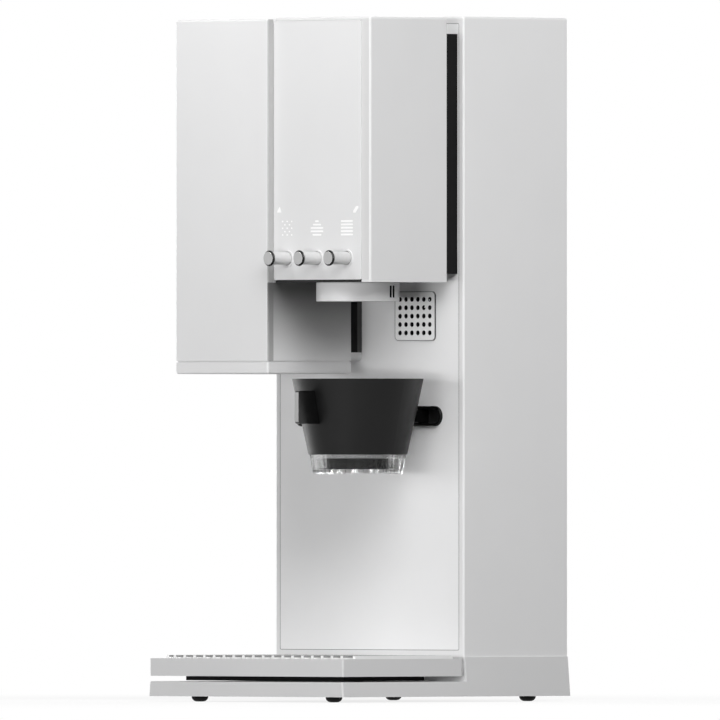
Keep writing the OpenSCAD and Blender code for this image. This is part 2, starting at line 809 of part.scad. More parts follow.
module burr_rotor() color(silver) at_grinder() {
    top = chamber_top - burr_h - burr_gap;
    difference() {
        rod_z(0, 0, top - burr_h, top, burr_r);
        for (i = [0 : 11]) rotate(i * 30) translate([burr_r - 6, 0, 0])
            rotate(-20) box(-9, 9, -0.7, 0.7, top - 1, top + 1);
    }
    translate([0, 0, top]) cylinder(r1 = 8, r2 = 3, h = burr_h);
    for (a = [0, 90]) rotate(a) box(-chamber_r + 0.5, chamber_r - 0.5, -paddle_w / 2, paddle_w / 2,
        chamber_z + 0.5, top - burr_h);
    rod_z(0, 0, chassis_z - shaft_in, top - burr_h, shaft_r);
}

module grinder_motor() color(dark_grey) at_grinder() difference() {
    union() {
        rod_z(0, 0, chassis_z - motor_h + 5, chassis_z, motor_r);
        rod_z(0, 0, chassis_z - motor_h, chassis_z - motor_h + 5, motor_r - 7);
    }
    rod_z(0, 0, chassis_z - shaft_in - 1, chassis_z + 1, shaft_r + run);
}

// The outside of the chute, or its bore when g is its wall
module chute_form(g) {
    box(grind_x - chute_w + g, grind_x + chute_w - g, chute_front + g, chute_back - g, slope_z,
        chassis_z + (g > 0 ? 1 : 0));
    hull() {
        box(grind_x - chute_w + g, grind_x + chute_w - g, chute_front + g, chute_back - g, slope_z,
            slope_z + eps);
        translate([grind_x, drip_y, outlet_z]) cylinder(r = outlet_r + chute_t - g, h = eps, $fn = hull_fn);
    }
    translate([grind_x, drip_y, grinder_z + (g > 0 ? -1 : 0.4)])
        cylinder(r = outlet_r + chute_t - g, h = outlet_z - grinder_z + (g > 0 ? 1 : -0.4) + eps);
}

module grounds_chute() color(black) difference() {
    chute_form(0);
    chute_form(chute_t);
}

// The brew head

module brew_casing() color(shell_grey) difference() {
    soft_block(brew_left, half, brew_front, head_back, brew_z, brew_top, shell_r, soft_e);
    box(brew_left + shell_t, half - shell_t, brew_front + face_t, head_back - shell_t, brew_z + shell_t,
        brew_top - shell_t);
    box(brew_left - 1, panel_x1 + fit, brew_front - 1, panel_in, panel_z0 - fit, panel_z1 + fit);
    box(brew_left + 3, panel_x1 - 3, brew_front, brew_front + face_t + 1, panel_z0 + 3, panel_z1 - 3);
    at_dripper() rod_z(0, 0, brew_z - 1, brew_z + shell_t + 1, nozzle_r + fit);
    rod_y(valve_x, inlet_top, head_back - shell_t - 1, head_back + 1, hose_r + fit);
}

module control_panel() color(panel_white) difference() {
    union() {
        rplate(panel_x0, panel_x1, panel_z0, panel_z1, panel_front, panel_in, 0.8);
        for (x = knob_x) rod_y(x, knob_z, panel_front - collar_t, panel_front, collar_r);
        for (x = post_x, z = [icon_z - 8, post_z]) rod_y(x, z, panel_in, board_y, post_r);
    }
    for (x = knob_x) rod_y(x, knob_z, panel_front - collar_t - 1, panel_in + 1, knob_r + clear);
}

// A turned knob: barrel, wider end cap with a bevelled face, and a socket for its plunger
module knob(x) color(silver) translate([x, panel_in - 0.6, knob_z]) rotate([90, 0, 0]) difference() {
    out = knob_len + panel_t - 0.6;
    rotate_extrude() polygon([
        [0, 0], [knob_r, 0], [knob_r, out - cap_len], [cap_r, out - cap_len + 0.2],
        [cap_r, out - cap_bevel], [cap_r - 0.8 * cap_bevel, out], [0, out]
    ]);
    translate([0, 0, -1]) cylinder(r = plunger_r + run, h = 1 + panel_t - 0.6 + plunger_out + 0.5);
}

module grind_knob() knob(knob_x[0]);
module water_knob() knob(knob_x[1]);
module recipe_knob() knob(knob_x[2]);

module plunger(x) color(silver)
    rod_y(x, knob_z, panel_front - plunger_out, encoder_y + plunger_in, plunger_r);

module grind_plunger() plunger(knob_x[0]);
module water_plunger() plunger(knob_x[1]);
module recipe_plunger() plunger(knob_x[2]);

module knob_encoders() color(black) for (x = knob_x) difference() {
    rplate(x - encoder_w / 2, x + encoder_w / 2, knob_z - encoder_w / 2, knob_z + encoder_w / 2, encoder_y,
        board_y, 1);
    rod_y(x, knob_z, encoder_y - 1, board_y - 0.5, plunger_r + run);
}

module display_board() color(board_green)
    rplate(panel_x0 + 4, panel_x1 - 4, board_low, board_top, board_y, board_y + board_t, 1.5);

module light_guides() color(clear_plastic) for (x = knob_x)
    rplate(x - guide_w / 2, x + guide_w / 2, icon_z - guide_h / 2, icon_z + guide_h / 2, panel_in, board_y,
        1);

module shower_head() color(shell_grey) at_dripper() difference() {
    low = brew_z - shower_h;
    rod_z(0, 0, low, brew_z, shower_r);
    rod_z(0, 0, low + 2, brew_z + 1, shower_r - 2.4);
    for (i = [0 : 11]) rotate(i * 30) rod_z(shower_r - 11, 0, low - 1, low + 3, 0.9);
    for (i = [0 : 5]) rotate(i * 60) rod_z(shower_r - 19, 0, low - 1, low + 3, 0.9);
    for (y = [3.4, 6.6]) box(shower_r - 2.2, shower_r + 1, y - 0.9, y + 0.9, low + 2.6, brew_z - 2.2);
}

module water_nozzle() color(clear_plastic) at_dripper() difference() {
    union() {
        rod_z(0, 0, brew_z - shower_h + 4, nozzle_top, nozzle_r);
        rod_z(0, 0, brew_z + shell_t, brew_z + shell_t + 2.5, nozzle_flange);
    }
    rod_z(0, 0, brew_z - shower_h + 3, nozzle_top + 1, nozzle_r - 2);
}

module heater() color(silver) difference() {
    union() {
        rbox(brew_x - heater_w / 2, brew_x + heater_w / 2, heater_back - heater_d, heater_back, heater_z,
            heater_z + heater_h, 3);
        for (i = [1 : 6]) translate([brew_x, heater_back - heater_d / 2, heater_z + i * heater_h / 7])
            cube([heater_w + 6, heater_d - 8, fin_t], center = true);
    }
    rod_z(brew_x, heater_back - heater_d / 2, heater_z - 1, heater_z + 10, hose_in);
    rod_y(valve_x, inlet_top, heater_back - 8, heater_back + 1, hose_in);
}

// The water path and the electrics in the tower

module water_pump() color(dark_grey) {
    x0 = valve_x - pump_w / 2;
    y1 = valve_y + 9;
    difference() {
        union() {
            rbox(x0, x0 + pump_w, y1 - pump_d, y1, floor_z, floor_z + 8, 3);
            rod_z(valve_x, y1 - pump_d / 2, floor_z + 8, floor_z + pump_h - 10, pump_d / 2);
            rbox(x0 + 4, x0 + pump_w - 4, y1 - pump_d, y1, floor_z + pump_h - 10, floor_z + pump_h, 3);
        }
        rod_z(valve_x, valve_y, floor_z + pump_h - 8, floor_z + pump_h + 1, hose_in);
        rod_y(valve_x, floor_z + pump_h - 5, y1 - pump_d - 1, y1 - pump_d + 8, hose_in);
    }
}

module power_supply() color(silver) difference() {
    x0 = -half + psu_in;
    y0 = wall_y + psu_gap;
    box(x0, x0 + psu_w, y0, y0 + psu_d, floor_z, floor_z + psu_h);
    for (x = [psu_slot_step : psu_slot_step : psu_w - psu_slot_step])
        rplate(x0 + x, x0 + x + psu_slot_w, floor_z + 0.25 * psu_h, floor_z + 0.75 * psu_h, y0 - 1,
            y0 + psu_slot_w / 2, 0.47 * psu_slot_w);
}

module main_board() color(board_green) {
    y1 = back_y - 2 * shell_t - stand_off;
    rplate(main_x0, main_x1, main_z, main_z + main_h, y1 - board_t, y1, 2);
    for (k = [0 : 2]) translate([main_x0 + main_post_z + chip_step_x * k, 0, main_z + chip_step_z * (k + 1)])
        box(0, chip_w, y1 - board_t - chip_d, y1 - board_t, 0, chip_h);
}

module water_hoses() color(rubber) {
    pump_front = valve_y + 9 - pump_d;
    pump_port = floor_z + pump_h - 5;
    drop_y = heater_back - heater_d / 2;
    turn_z = (nozzle_top + heater_z) / 2;
    hose_z(valve_x, valve_y, floor_z + pump_h, dock_z - dock_boss_h);
    hose_y(valve_x, pump_port, riser_y + bend_r, pump_front);
    hose_bend(valve_x, riser_y + bend_r, pump_port + bend_r, 180);
    hose_z(valve_x, riser_y, pump_port + bend_r, inlet_top - bend_r);
    hose_bend(valve_x, riser_y - bend_r, inlet_top - bend_r, 0);
    hose_y(valve_x, inlet_top, heater_back, riser_y - bend_r);
    hose_z(brew_x, drop_y, turn_z + bend_r, heater_z);
    hose_bend(brew_x, drop_y - bend_r, turn_z + bend_r, 270);
    hose_y(brew_x, turn_z, drip_y + bend_r, drop_y - bend_r);
    hose_bend(brew_x, drip_y + bend_r, turn_z - bend_r, 90);
    hose_z(brew_x, drip_y, nozzle_top, turn_z - bend_r);
}

module mains_inlet() color(black) translate([inlet_x, 0, inlet_z]) {
    y0 = back_y - inlet_d;
    inner = back_y - 2 * shell_t;
    difference() {
        union() {
            box(-inlet_w / 2, inlet_w / 2, y0, back_y, -inlet_hh / 2, inlet_hh / 2);
            box(-inlet_w / 2 - inlet_flange, inlet_w / 2 + inlet_flange, inner - inlet_t, inner,
                -inlet_hh / 2 - inlet_flange, inlet_hh / 2 + inlet_flange);
        }
        box(-inlet_w / 2 + inlet_t, inlet_w / 2 - inlet_t, y0 + inlet_t + 1, back_y + 1,
            -inlet_hh / 2 + inlet_t, inlet_hh / 2 - inlet_t);
    }
    for (k = [-1, 0, 1]) translate([k * pin_gap, 0, k == 0 ? pin_w * 1.5 : -pin_w])
        box(-pin_w / 2, pin_w / 2, y0 + inlet_t, back_y - pin_short, -pin_h / 2, pin_h / 2);
}

module water_tank() color(clear_plastic) difference() {
    union() {
        rbox(-tank_x, tank_x, tank_front, tank_back, tank_z, tank_top - 0.2, 6);
        rod_z(valve_x, valve_y, tank_z - valve_len, tank_z, valve_r);
    }
    rbox(-tank_x + tank_t, tank_x - tank_t, tank_front + tank_t, tank_back - tank_t, tank_z + tank_t,
        tank_top, 6 - tank_t);
    rod_z(valve_x, valve_y, tank_z - valve_len - 1, tank_z + tank_t + 1, valve_r - 2);
}

module tank_lid() color(shell_grey) difference() {
    union() {
        rbox(-win_x + clear, win_x - clear, lid_front + clear, back_y, tank_top, body_h, 1);
        difference() {
            rbox(-tank_x + tank_t + clear, tank_x - tank_t - clear, tank_front + tank_t + clear,
                tank_back - tank_t - clear, tank_top - 5, tank_top, 3.4);
            rbox(-tank_x + tank_t + 3, tank_x - tank_t - 3, tank_front + tank_t + 3, tank_back - tank_t - 3,
                tank_top - 6, tank_top, 2);
        }
    }
    rbox(-grip_w / 2, grip_w / 2, valve_y - grip_d / 2, valve_y + grip_d / 2, body_h - grip_deep, body_h + 1,
        grip_r);
}

module tank_dock() color(dark_grey) difference() {
    union() {
        box(-half + shell_t, half - shell_t, lid_front, back_y - 2 * shell_t, dock_z, dock_top);
        rod_z(valve_x, valve_y, dock_z - dock_boss_h, dock_z, dock_boss);
    }
    rod_z(valve_x, valve_y, tank_z - valve_len - clear, dock_top + 1, valve_r + clear);
    rod_z(valve_x, valve_y, dock_z - dock_boss_h - 1, dock_z, hose_in);
}

// The carriage and its track

module carriage_arm() color(black) {
    rplate(brew_x - arm_w / 2, brew_x + arm_w / 2, track_z - arm_h / 2, track_z + arm_h / 2, arm_front,
        block_y, 1.2);
    for (s = [-1, 1]) rod_y(brew_x + s * pin_x, track_z, arm_front - pin_len, arm_front, pin_r);
}

module carriage_block() color(dark_grey) difference() {
    rplate(brew_x - block_w / 2, brew_x + block_w / 2, track_z - block_zh / 2, track_z + block_zh / 2,
        block_y, block_y + block_d, 3);
    for (s = [-1, 1]) rod_x(rods_y, track_z + s * rod_gap, brew_x - block_w, brew_x + block_w, rod_r + run);
    rod_x(rods_y, track_z, brew_x - block_w, brew_x + block_w, screw_rod_r + run);
}

module guide_rods() color(silver) for (s = [-1, 1])
    rod_x(rods_y, track_z + s * rod_gap, -bracket_x - bracket_t, bracket_x + bracket_t, rod_r);

module lead_screw() color(silver) {
    rod_x(rods_y, track_z, -bracket_x + 0.4, bracket_x - 0.4, screw_rod_r);
    rod_x(rods_y, track_z, -bracket_x - bracket_t - 6, bracket_x + bracket_t, journal_r);
}

module rail_brackets() color(silver) for (s = [0, 1]) mirror([s, 0, 0]) difference() {
    rplate(bracket_x, bracket_x + bracket_t, track_z - block_zh / 2, track_z + block_zh / 2, panel_back,
        rods_y + bracket_back, 1.5);
    for (k = [-1, 1]) rod_x(rods_y, track_z + k * rod_gap, bracket_x - 1, bracket_x + bracket_t + 1,
        rod_r + rod_fit);
    rod_x(rods_y, track_z, bracket_x - 1, bracket_x + bracket_t + 1, journal_r + run);
}

module carriage_motor() color(dark_grey) difference() {
    box(-half + shell_t, -bracket_x - bracket_t, rods_y - 12, rods_y + motor_w - 12, track_z - motor_w / 2,
        track_z + motor_w / 2);
    rod_x(rods_y, track_z, -bracket_x - bracket_t - 6.5, -bracket_x, journal_r + run);
}

// The dripper

module dripper_cone() color(dark_grey) at_dripper() difference() {
    slope = (cone_top_r - cone_low_r) / cone_h;
    union() {
        translate([0, 0, cone_z]) cylinder(r1 = cone_low_r, r2 = cone_top_r, h = cone_h);
        rplate(-lug_w / 2, lug_w / 2, track_z - lug_h / 2, track_z + lug_h / 2, 10, lug_end, 2);
    }
    difference() {
        translate([0, 0, cone_z - 1])
            cylinder(r1 = cone_low_r - cone_t - slope, r2 = cone_top_r - cone_t + slope, h = cone_h + 2);
        for (i = [0 : rib_count - 1]) rotate(i * 360 / rib_count) rotate([90, 0, 0])
            linear_extrude(rib_w, center = true) polygon([
                [cone_low_r - cone_t - rib_proud, cone_z - 2], [cone_low_r, cone_z - 2],
                [cone_low_r + rib_h * slope, cone_z + rib_h],
                [cone_low_r - cone_t - rib_proud + rib_h * slope, cone_z + rib_h]
            ]);
    }
    for (s = [-1, 1]) rod_y(s * pin_x, track_z, lug_end - pin_len - 0.5, drip_reach, pin_r + clear);
}

// A fluted outline
function flutes(r) = [for (i = [0 : 2 * flute_count - 1])
    (r - (i % 2) * 0.7) * [cos(i * 180 / flute_count), sin(i * 180 / flute_count)]];

module dripper_ring() color(clear_plastic) at_dripper() difference() {
    translate([0, 0, cone_z]) mirror([0, 0, 1])
        linear_extrude(ring_h, scale = ring_low_r / ring_top_r) polygon(flutes(ring_top_r));
    translate([0, 0, ring_z + 1 + ring_floor])
        cylinder(r1 = ring_low_r - ring_t, r2 = ring_top_r - ring_t, h = ring_h);
    translate([0, 0, ring_z - 1]) cylinder(r = ring_low_r - ring_t - 1, h = 2);
    for (i = [0 : 7]) rotate(i * 45) rod_z(drip_ring, 0, ring_z, ring_z + 2 + ring_floor, drip_hole);
    rod_z(0, 0, ring_z, ring_z + 2 + ring_floor, drip_centre);
}

module drip_valve() color(black) at_dripper() difference() {
    low = ring_z + 1 + ring_floor;
    reach = ring_low_r - ring_t - 0.4;
    rod_z(0, 0, low, low + insert_h, reach);
    for (i = [0 : 7]) rotate(i * 45) {
        rod_z(drip_ring, 0, low - 1, low + insert_h + 1, drip_hole);
        box(drip_centre / 2, reach - ring_t - 1, -drip_groove / 2, drip_groove / 2, low + insert_h - 2,
            low + insert_h + 2);
    }
    rod_z(0, 0, low - 1, low + insert_h + 1, drip_centre);
}

module dripper_handle() color(black) at_dripper() difference() {
    low = cone_top - 7.7 - handle_h;
    rotate([90, 0, 90]) linear_extrude(handle_t, center = true) {
        translate([-handle_r / 2 - 10, low + handle_h / 2]) rrect(handle_r - 20, handle_h, 2);
        translate([-24, low]) square([10, handle_h]);
    }
    translate([0, 0, cone_z]) cylinder(r1 = cone_low_r + fit, r2 = cone_top_r + fit, h = cone_h);
}

base_plate();
tower_foot();
bottom_cover();
rubber_feet();
cover_screws();
load_cell();
scale_carrier();
drip_tray();
drip_grille();
tower_shell();
front_panel();
back_cover();
track_bezel();
vent_grille();
fan_frame();
fan_rotor();
neck();
neck_shelf();
grinder_casing();
grinder_base();
bean_hopper();
hopper_lid();
burr_housing();
ring_burr();
burr_rotor();
grinder_motor();
grounds_chute();
brew_casing();
control_panel();
grind_knob();
water_knob();
recipe_knob();
grind_plunger();
water_plunger();
recipe_plunger();
knob_encoders();
display_board();
light_guides();
shower_head();
water_nozzle();
heater();
water_pump();
power_supply();
main_board();
water_hoses();
mains_inlet();
water_tank();
tank_lid();
tank_dock();
carriage_arm();
carriage_block();
guide_rods();
lead_screw();
rail_brackets();
carriage_motor();
dripper_cone();
dripper_ring();
drip_valve();
dripper_handle();
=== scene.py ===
# %% [markdown]
# A pour-over coffee maker, dressed for its portrait
#
# The machine is a slim tower with a grinder and a brew head side by side on its front, a dripper on a
# travelling arm below them, and a drip tray that stands on a scale. Its solids are already at their real
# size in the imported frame, in metres. This lesson puts the machine in a white studio, gives its solids
# finishes and soft edges, turns the knobs and the feet, twists the fan's blades, lights the icons and
# draws the seams.

# %% Load the frame
import math

import bmesh
import bpy
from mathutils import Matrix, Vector


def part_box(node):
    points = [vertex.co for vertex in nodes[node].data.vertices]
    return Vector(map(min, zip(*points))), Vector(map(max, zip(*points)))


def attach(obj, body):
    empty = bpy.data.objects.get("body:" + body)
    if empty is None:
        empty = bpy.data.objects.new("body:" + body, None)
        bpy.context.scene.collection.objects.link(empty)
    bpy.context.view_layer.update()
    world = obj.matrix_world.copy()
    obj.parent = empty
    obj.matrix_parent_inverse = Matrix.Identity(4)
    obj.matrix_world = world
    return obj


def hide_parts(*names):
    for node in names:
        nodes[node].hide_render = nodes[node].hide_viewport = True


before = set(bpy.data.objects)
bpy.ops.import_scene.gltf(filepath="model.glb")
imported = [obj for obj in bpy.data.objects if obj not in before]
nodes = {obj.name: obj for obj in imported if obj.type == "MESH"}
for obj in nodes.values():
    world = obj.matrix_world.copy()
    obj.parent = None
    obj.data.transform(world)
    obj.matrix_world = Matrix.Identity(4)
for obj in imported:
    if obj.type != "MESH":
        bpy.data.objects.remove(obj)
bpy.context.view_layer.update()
MM = 0.001

# %% [markdown]
# The camera comes first, because every later choice is judged through it. The portrait looks at the
# machine's front right corner from just below its middle, and its upright and level edges stay nearly
# parallel, so a very long lens stands far away. A shorter lens would spread the top and the base.

# %% Set the camera
VIEW_TURN = math.radians(45)
VIEW_WIDTH = 458.2 * MM
AIM = Vector((0, 0, 217.2 * MM))
EYE_HEIGHT = 140 * MM
LENS = 1650
SENSOR = 36

camera = bpy.data.objects.new("portrait_camera", bpy.data.cameras.new("portrait_camera"))
camera.data.lens = LENS
camera.data.sensor_width = SENSOR
camera.data.clip_end = 100
towards_camera = Vector((math.sin(VIEW_TURN), -math.cos(VIEW_TURN), 0))
stand_back = VIEW_WIDTH * LENS / SENSOR
camera.location = AIM + towards_camera * stand_back
camera.location.z = EYE_HEIGHT
camera.rotation_mode = "QUATERNION"
camera.rotation_quaternion = (AIM - camera.location).to_track_quat("-Z", "Y")
bpy.context.scene.collection.objects.link(camera)
bpy.context.scene.camera = camera
print("camera stands back", round(stand_back, 2), "m")

# %% [markdown]
# A white studio is a pale sky, a pale floor and a few large lamps. The sky is white to the eye, to mirrors
# and to clear plastic, but it gives less light than it shows. With all its light it would fill every hollow
# and flatten the form, so most of the light is left to the lamps. The Light Path node tells the rays that
# look at things from the rays that light them.

# %% Make the sky
SKY_LIGHT = 0.03
WHITE = (1, 1, 1, 1)


def calculate(tree, operation, first, second=0):
    """The result of one Math node; each input is another node's output or a number."""
    step = tree.nodes.new("ShaderNodeMath")
    step.operation = operation
    for socket, value in zip(step.inputs, (first, second)):
        if isinstance(value, bpy.types.NodeSocket):
            tree.links.new(value, socket)
        else:
            socket.default_value = value
    return step.outputs[0]


def seen_directly(tree):
    """A factor that is 1 where the eye, a mirror or a glass looks, and 0 for light on things."""
    path = tree.nodes.new("ShaderNodeLightPath").outputs
    mirror = calculate(tree, "MAXIMUM", path["Is Camera Ray"], path["Is Glossy Ray"])
    return calculate(tree, "MAXIMUM", mirror, path["Is Transmission Ray"])


def mix_shaders(tree, factor, first, second):
    """The first shader where the factor is 0, the second where it is 1."""
    mix = tree.nodes.new("ShaderNodeMixShader")
    tree.links.new(factor, mix.inputs["Fac"])
    tree.links.new(first.outputs[0], mix.inputs[1])
    tree.links.new(second.outputs[0], mix.inputs[2])
    return mix


world = bpy.data.worlds.new("white_sky")
bpy.context.scene.world = world
world.use_nodes = True
sky = world.node_tree
sky_light = sky.nodes["Background"]
sky_light.inputs["Color"].default_value = WHITE
sky_light.inputs["Strength"].default_value = SKY_LIGHT
sky_seen = sky.nodes.new("ShaderNodeBackground")
sky_seen.inputs["Color"].default_value = WHITE
sky_mix = mix_shaders(sky, seen_directly(sky), sky_light, sky_seen)
sky.links.new(sky_mix.outputs[0], sky.nodes["World Output"].inputs["Surface"])
print("sky gives", SKY_LIGHT, "of the light that it shows")

# %% [markdown]
# The floor does the same: it looks nearly white, throws little light back, and still takes the machine's
# soft shadow. Its look is a plain glow with a share of chalk in it, because only the chalk shows a shadow.
# The chalk fades out around the machine, so the floor runs into the sky without a horizon.

# %% Lay the floor
FLOOR_HALF = 30
FLOOR_GREY = (0.20, 0.20, 0.20, 1)
CHALK = (0.95, 0.95, 0.95, 1)
CHALK_SHARE = 0.20
CHALK_NEAR, CHALK_FAR = 0.15, 0.9


def spread(tree, value, start, end, low, high, easing="LINEAR"):
    """A value that runs from low to high while another runs from start to end."""
    ramp = tree.nodes.new("ShaderNodeMapRange")
    ramp.interpolation_type = easing
    ramp.inputs["From Min"].default_value = start
    ramp.inputs["From Max"].default_value = end
    ramp.inputs["To Min"].default_value = low
    ramp.inputs["To Max"].default_value = high
    tree.links.new(value, ramp.inputs["Value"])
    return ramp.outputs["Result"]


def make_object(name, shape, materials):
    """Puts a finished bmesh into the scene as an object with these materials."""
    mesh = bpy.data.meshes.new(name)
    shape.to_mesh(mesh)
    shape.free()
    for material in materials:
        mesh.materials.append(material)
    made = bpy.data.objects.new(name, mesh)
    bpy.context.scene.collection.objects.link(made)
    return made


floor_material = bpy.data.materials.new("studio_floor")
floor_material.use_nodes = True
floor_tree = floor_material.node_tree
floor_paint = floor_tree.nodes["Principled BSDF"]
floor_paint.inputs["Base Color"].default_value = FLOOR_GREY
floor_paint.inputs["Roughness"].default_value = 0.9
floor_paint.inputs["Specular IOR Level"].default_value = 0
floor_chalk = floor_tree.nodes.new("ShaderNodeBsdfDiffuse")
floor_chalk.inputs["Color"].default_value = CHALK
floor_glow = floor_tree.nodes.new("ShaderNodeEmission")
floor_place = floor_tree.nodes.new("ShaderNodeTexCoord")
floor_far = floor_tree.nodes.new("ShaderNodeVectorMath")
floor_far.operation = "LENGTH"
floor_tree.links.new(floor_place.outputs["Object"], floor_far.inputs[0])
chalk_here = spread(
    floor_tree, floor_far.outputs["Value"], CHALK_NEAR, CHALK_FAR, CHALK_SHARE, 0, "SMOOTHSTEP"
)
floor_look = mix_shaders(floor_tree, chalk_here, floor_glow, floor_chalk)
floor_mix = mix_shaders(floor_tree, seen_directly(floor_tree), floor_paint, floor_look)
floor_tree.links.new(floor_mix.outputs[0], floor_tree.nodes["Material Output"].inputs["Surface"])

shape = bmesh.new()
bmesh.ops.create_grid(shape, x_segments=8, y_segments=8, size=FLOOR_HALF)
floor = make_object("studio_floor", shape, [floor_material])
print("floor:", 2 * FLOOR_HALF, "m wide, chalk out to", CHALK_FAR, "m")

# %% [markdown]
# Each lamp has one job. The front lamp is wide and low and lights the fronts evenly. The low lamp shines in
# under the heads, onto the wall behind the dripper. The top lamp is small and close, for the upper fronts,
# and the side lamp is large and high on the right, for the right faces. The left and back lamps are for
# other views. All are area lamps, because a satin paint shows the soft edges of such light.

# %% Hang the lamps
def lamp(name, at, width, height, power):
    """A soft lamp that faces the machine, its width level."""
    light = bpy.data.lights.new(name, "AREA")
    light.shape = "RECTANGLE"
    light.size = width
    light.size_y = height
    light.energy = power
    holder = bpy.data.objects.new(name, light)
    holder.location = at
    holder.rotation_mode = "QUATERNION"
    holder.rotation_quaternion = (AIM - Vector(at)).to_track_quat("-Z", "Y")
    bpy.context.scene.collection.objects.link(holder)


bpy.context.scene.view_settings.view_transform = "Standard"
lamp("front_lamp", (-0.3, -2.58, 0.28), width=1.6, height=0.55, power=12.8)
lamp("low_lamp", (0.9, -2.2, 0.08), width=0.8, height=0.14, power=11)
lamp("top_lamp", (-0.06, -0.38, 0.70), width=0.15, height=0.15, power=0.67)
lamp("side_lamp", (1.19, -0.69, 1.33), width=0.9, height=1.5, power=28.6)
lamp("left_lamp", (-1.9, 0.1, 0.45), width=0.8, height=0.8, power=24)
lamp("back_lamp", (-0.2, 1.9, 0.45), width=1.4, height=0.8, power=24)

# %% [markdown]
# Real surfaces are never one flat colour, so every finish is built on noise. It reads the machine's own
# coordinates, in metres, so that the grain has the same size on every piece. Stretched along one axis, the
# same noise turns into strokes.

# %% Read the machine's coordinates
NOISE_LOW, NOISE_HIGH = 0.3, 0.7


def finish(name, roughness, metallic=0.0):
    """A new material with the Principled shader, and its tree."""
    material = bpy.data.materials.new(name)
    material.use_nodes = True
    shader = material.node_tree.nodes["Principled BSDF"]
    shader.inputs["Roughness"].default_value = roughness
    shader.inputs["Metallic"].default_value = metallic
    return material, material.node_tree, shader


def where(tree, stretch=(1, 1, 1)):
    """The machine's own coordinates, stretched along each axis."""
    place = tree.nodes.new("ShaderNodeTexCoord")
    mapping = tree.nodes.new("ShaderNodeMapping")
    mapping.inputs["Scale"].default_value = stretch
    tree.links.new(place.outputs["Object"], mapping.inputs["Vector"])
    return mapping.outputs["Vector"]


def noise(tree, place, size, detail=2.0):
    """Noise whose blotches are about this size in metres."""
    texture = tree.nodes.new("ShaderNodeTexNoise")
    texture.inputs["Scale"].default_value = 1 / size
    texture.inputs["Detail"].default_value = detail
    tree.links.new(place, texture.inputs["Vector"])
    return texture.outputs["Fac"]


def between(tree, value, low, high):
    """Noise, which keeps to the middle of its range, spread over another range."""
    return spread(tree, value, NOISE_LOW, NOISE_HIGH, low, high)


print("noise is read from", NOISE_LOW, "to", NOISE_HIGH)

# %% [markdown]
# Three strokes make up a finish. A soft noise mottles the colour by a percent or two, a finer one breaks
# up the gloss, and a very fine one gives the surface its grain as a bump.

# %% Strokes of a finish
def mix_colours(tree, factor, first, second):
    """Two colours mixed by a factor; each is a tuple or another node's output."""
    mix = tree.nodes.new("ShaderNodeMix")
    mix.data_type = "RGBA"
    for socket, colour in ((mix.inputs["A"], first), (mix.inputs["B"], second)):
        if isinstance(colour, tuple):
            socket.default_value = (*colour, 1)
        else:
            tree.links.new(colour, socket)
    tree.links.new(factor, mix.inputs["Factor"])
    return mix.outputs["Result"]


def mottle(tree, shader, colour, depth, size):
    """The base colour, lighter and darker by a small share in soft blotches."""
    light = tuple(c * (1 + depth) for c in colour)
    dark = tuple(c * (1 - depth) for c in colour)
    blotches = between(tree, noise(tree, where(tree), size), 0, 1)
    tree.links.new(mix_colours(tree, blotches, dark, light), shader.inputs["Base Color"])


def grain(tree, shader, height, size, stretch=(1, 1, 1), detail=2.0):
    """A fine bump, this many metres high."""
    bump = tree.nodes.new("ShaderNodeBump")
    bump.inputs["Distance"].default_value = height
    bump.inputs["Strength"].default_value = 1
    tree.links.new(noise(tree, where(tree, stretch), size, detail), bump.inputs["Height"])
    tree.links.new(bump.outputs["Normal"], shader.inputs["Normal"])


def gloss_spread(tree, shader, low, high, size):
    """Roughness that wanders between two values."""
    wander = between(tree, noise(tree, where(tree), size), low, high)
    tree.links.new(wander, shader.inputs["Roughness"])


print("strokes ready: colour, gloss and grain")

# %% [markdown]
# Some places of a piece get another shade painted over the rest: painted shade on the sides of holes and on
# a face that lies in deep shadow, a painted reflection along an edge. The piece could be cut up for that,
# but a mask is simpler. It is a factor, worked out from the place or from the way a face points, that lays
# a second shade over the first. Boxes for masks are in millimetres, which are easier to read here than
# metres.

# %% Masks for single places
FAR = 500


def split(tree, vector):
    """The X, Y and Z of a vector."""
    parts = tree.nodes.new("ShaderNodeSeparateXYZ")
    tree.links.new(vector, parts.inputs["Vector"])
    return parts.outputs


def within(tree, low, high):
    """A factor that is 1 inside a box of the machine's own coordinates, given in millimetres."""
    factor = 1
    for place, least, most in zip(split(tree, where(tree)), low, high):
        for side, limit in (("GREATER_THAN", least), ("LESS_THAN", most)):
            factor = calculate(tree, "MULTIPLY", calculate(tree, side, place, limit * MM), factor)
    return factor


def facing(tree, axis, least):
    """A factor that is 1 on faces whose normal leans along an axis, either way, by at least this much."""
    surface = tree.nodes.new("ShaderNodeTexCoord")
    lean = calculate(tree, "ABSOLUTE", split(tree, surface.outputs["Normal"])[axis])
    return calculate(tree, "GREATER_THAN", lean, least)


def rising(tree, low, high):
    """A factor that grows from 0 to 1 between two heights, given in millimetres."""
    return spread(tree, split(tree, where(tree))["Z"], low * MM, high * MM, 0, 1)


def repaint(material, factor, shade):
    """Another shade where the factor is 1, over the base colour that is already there."""
    tree = material.node_tree
    base = tree.nodes["Principled BSDF"].inputs["Base Color"]
    tree.links.new(mix_colours(tree, factor, base.links[0].from_socket, (shade, shade, shade)), base)


def repaint_box(material, low, high, shade):
    """Another shade in a box of the machine's own coordinates, in millimetres."""
    repaint(material, within(material.node_tree, low, high), shade)


def box_mm(name):
    """The low and the high corner of a solid's box, in millimetres."""
    low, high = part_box(name)
    return low / MM, high / MM


print("masks reach", FAR, "mm, past the machine on every side")
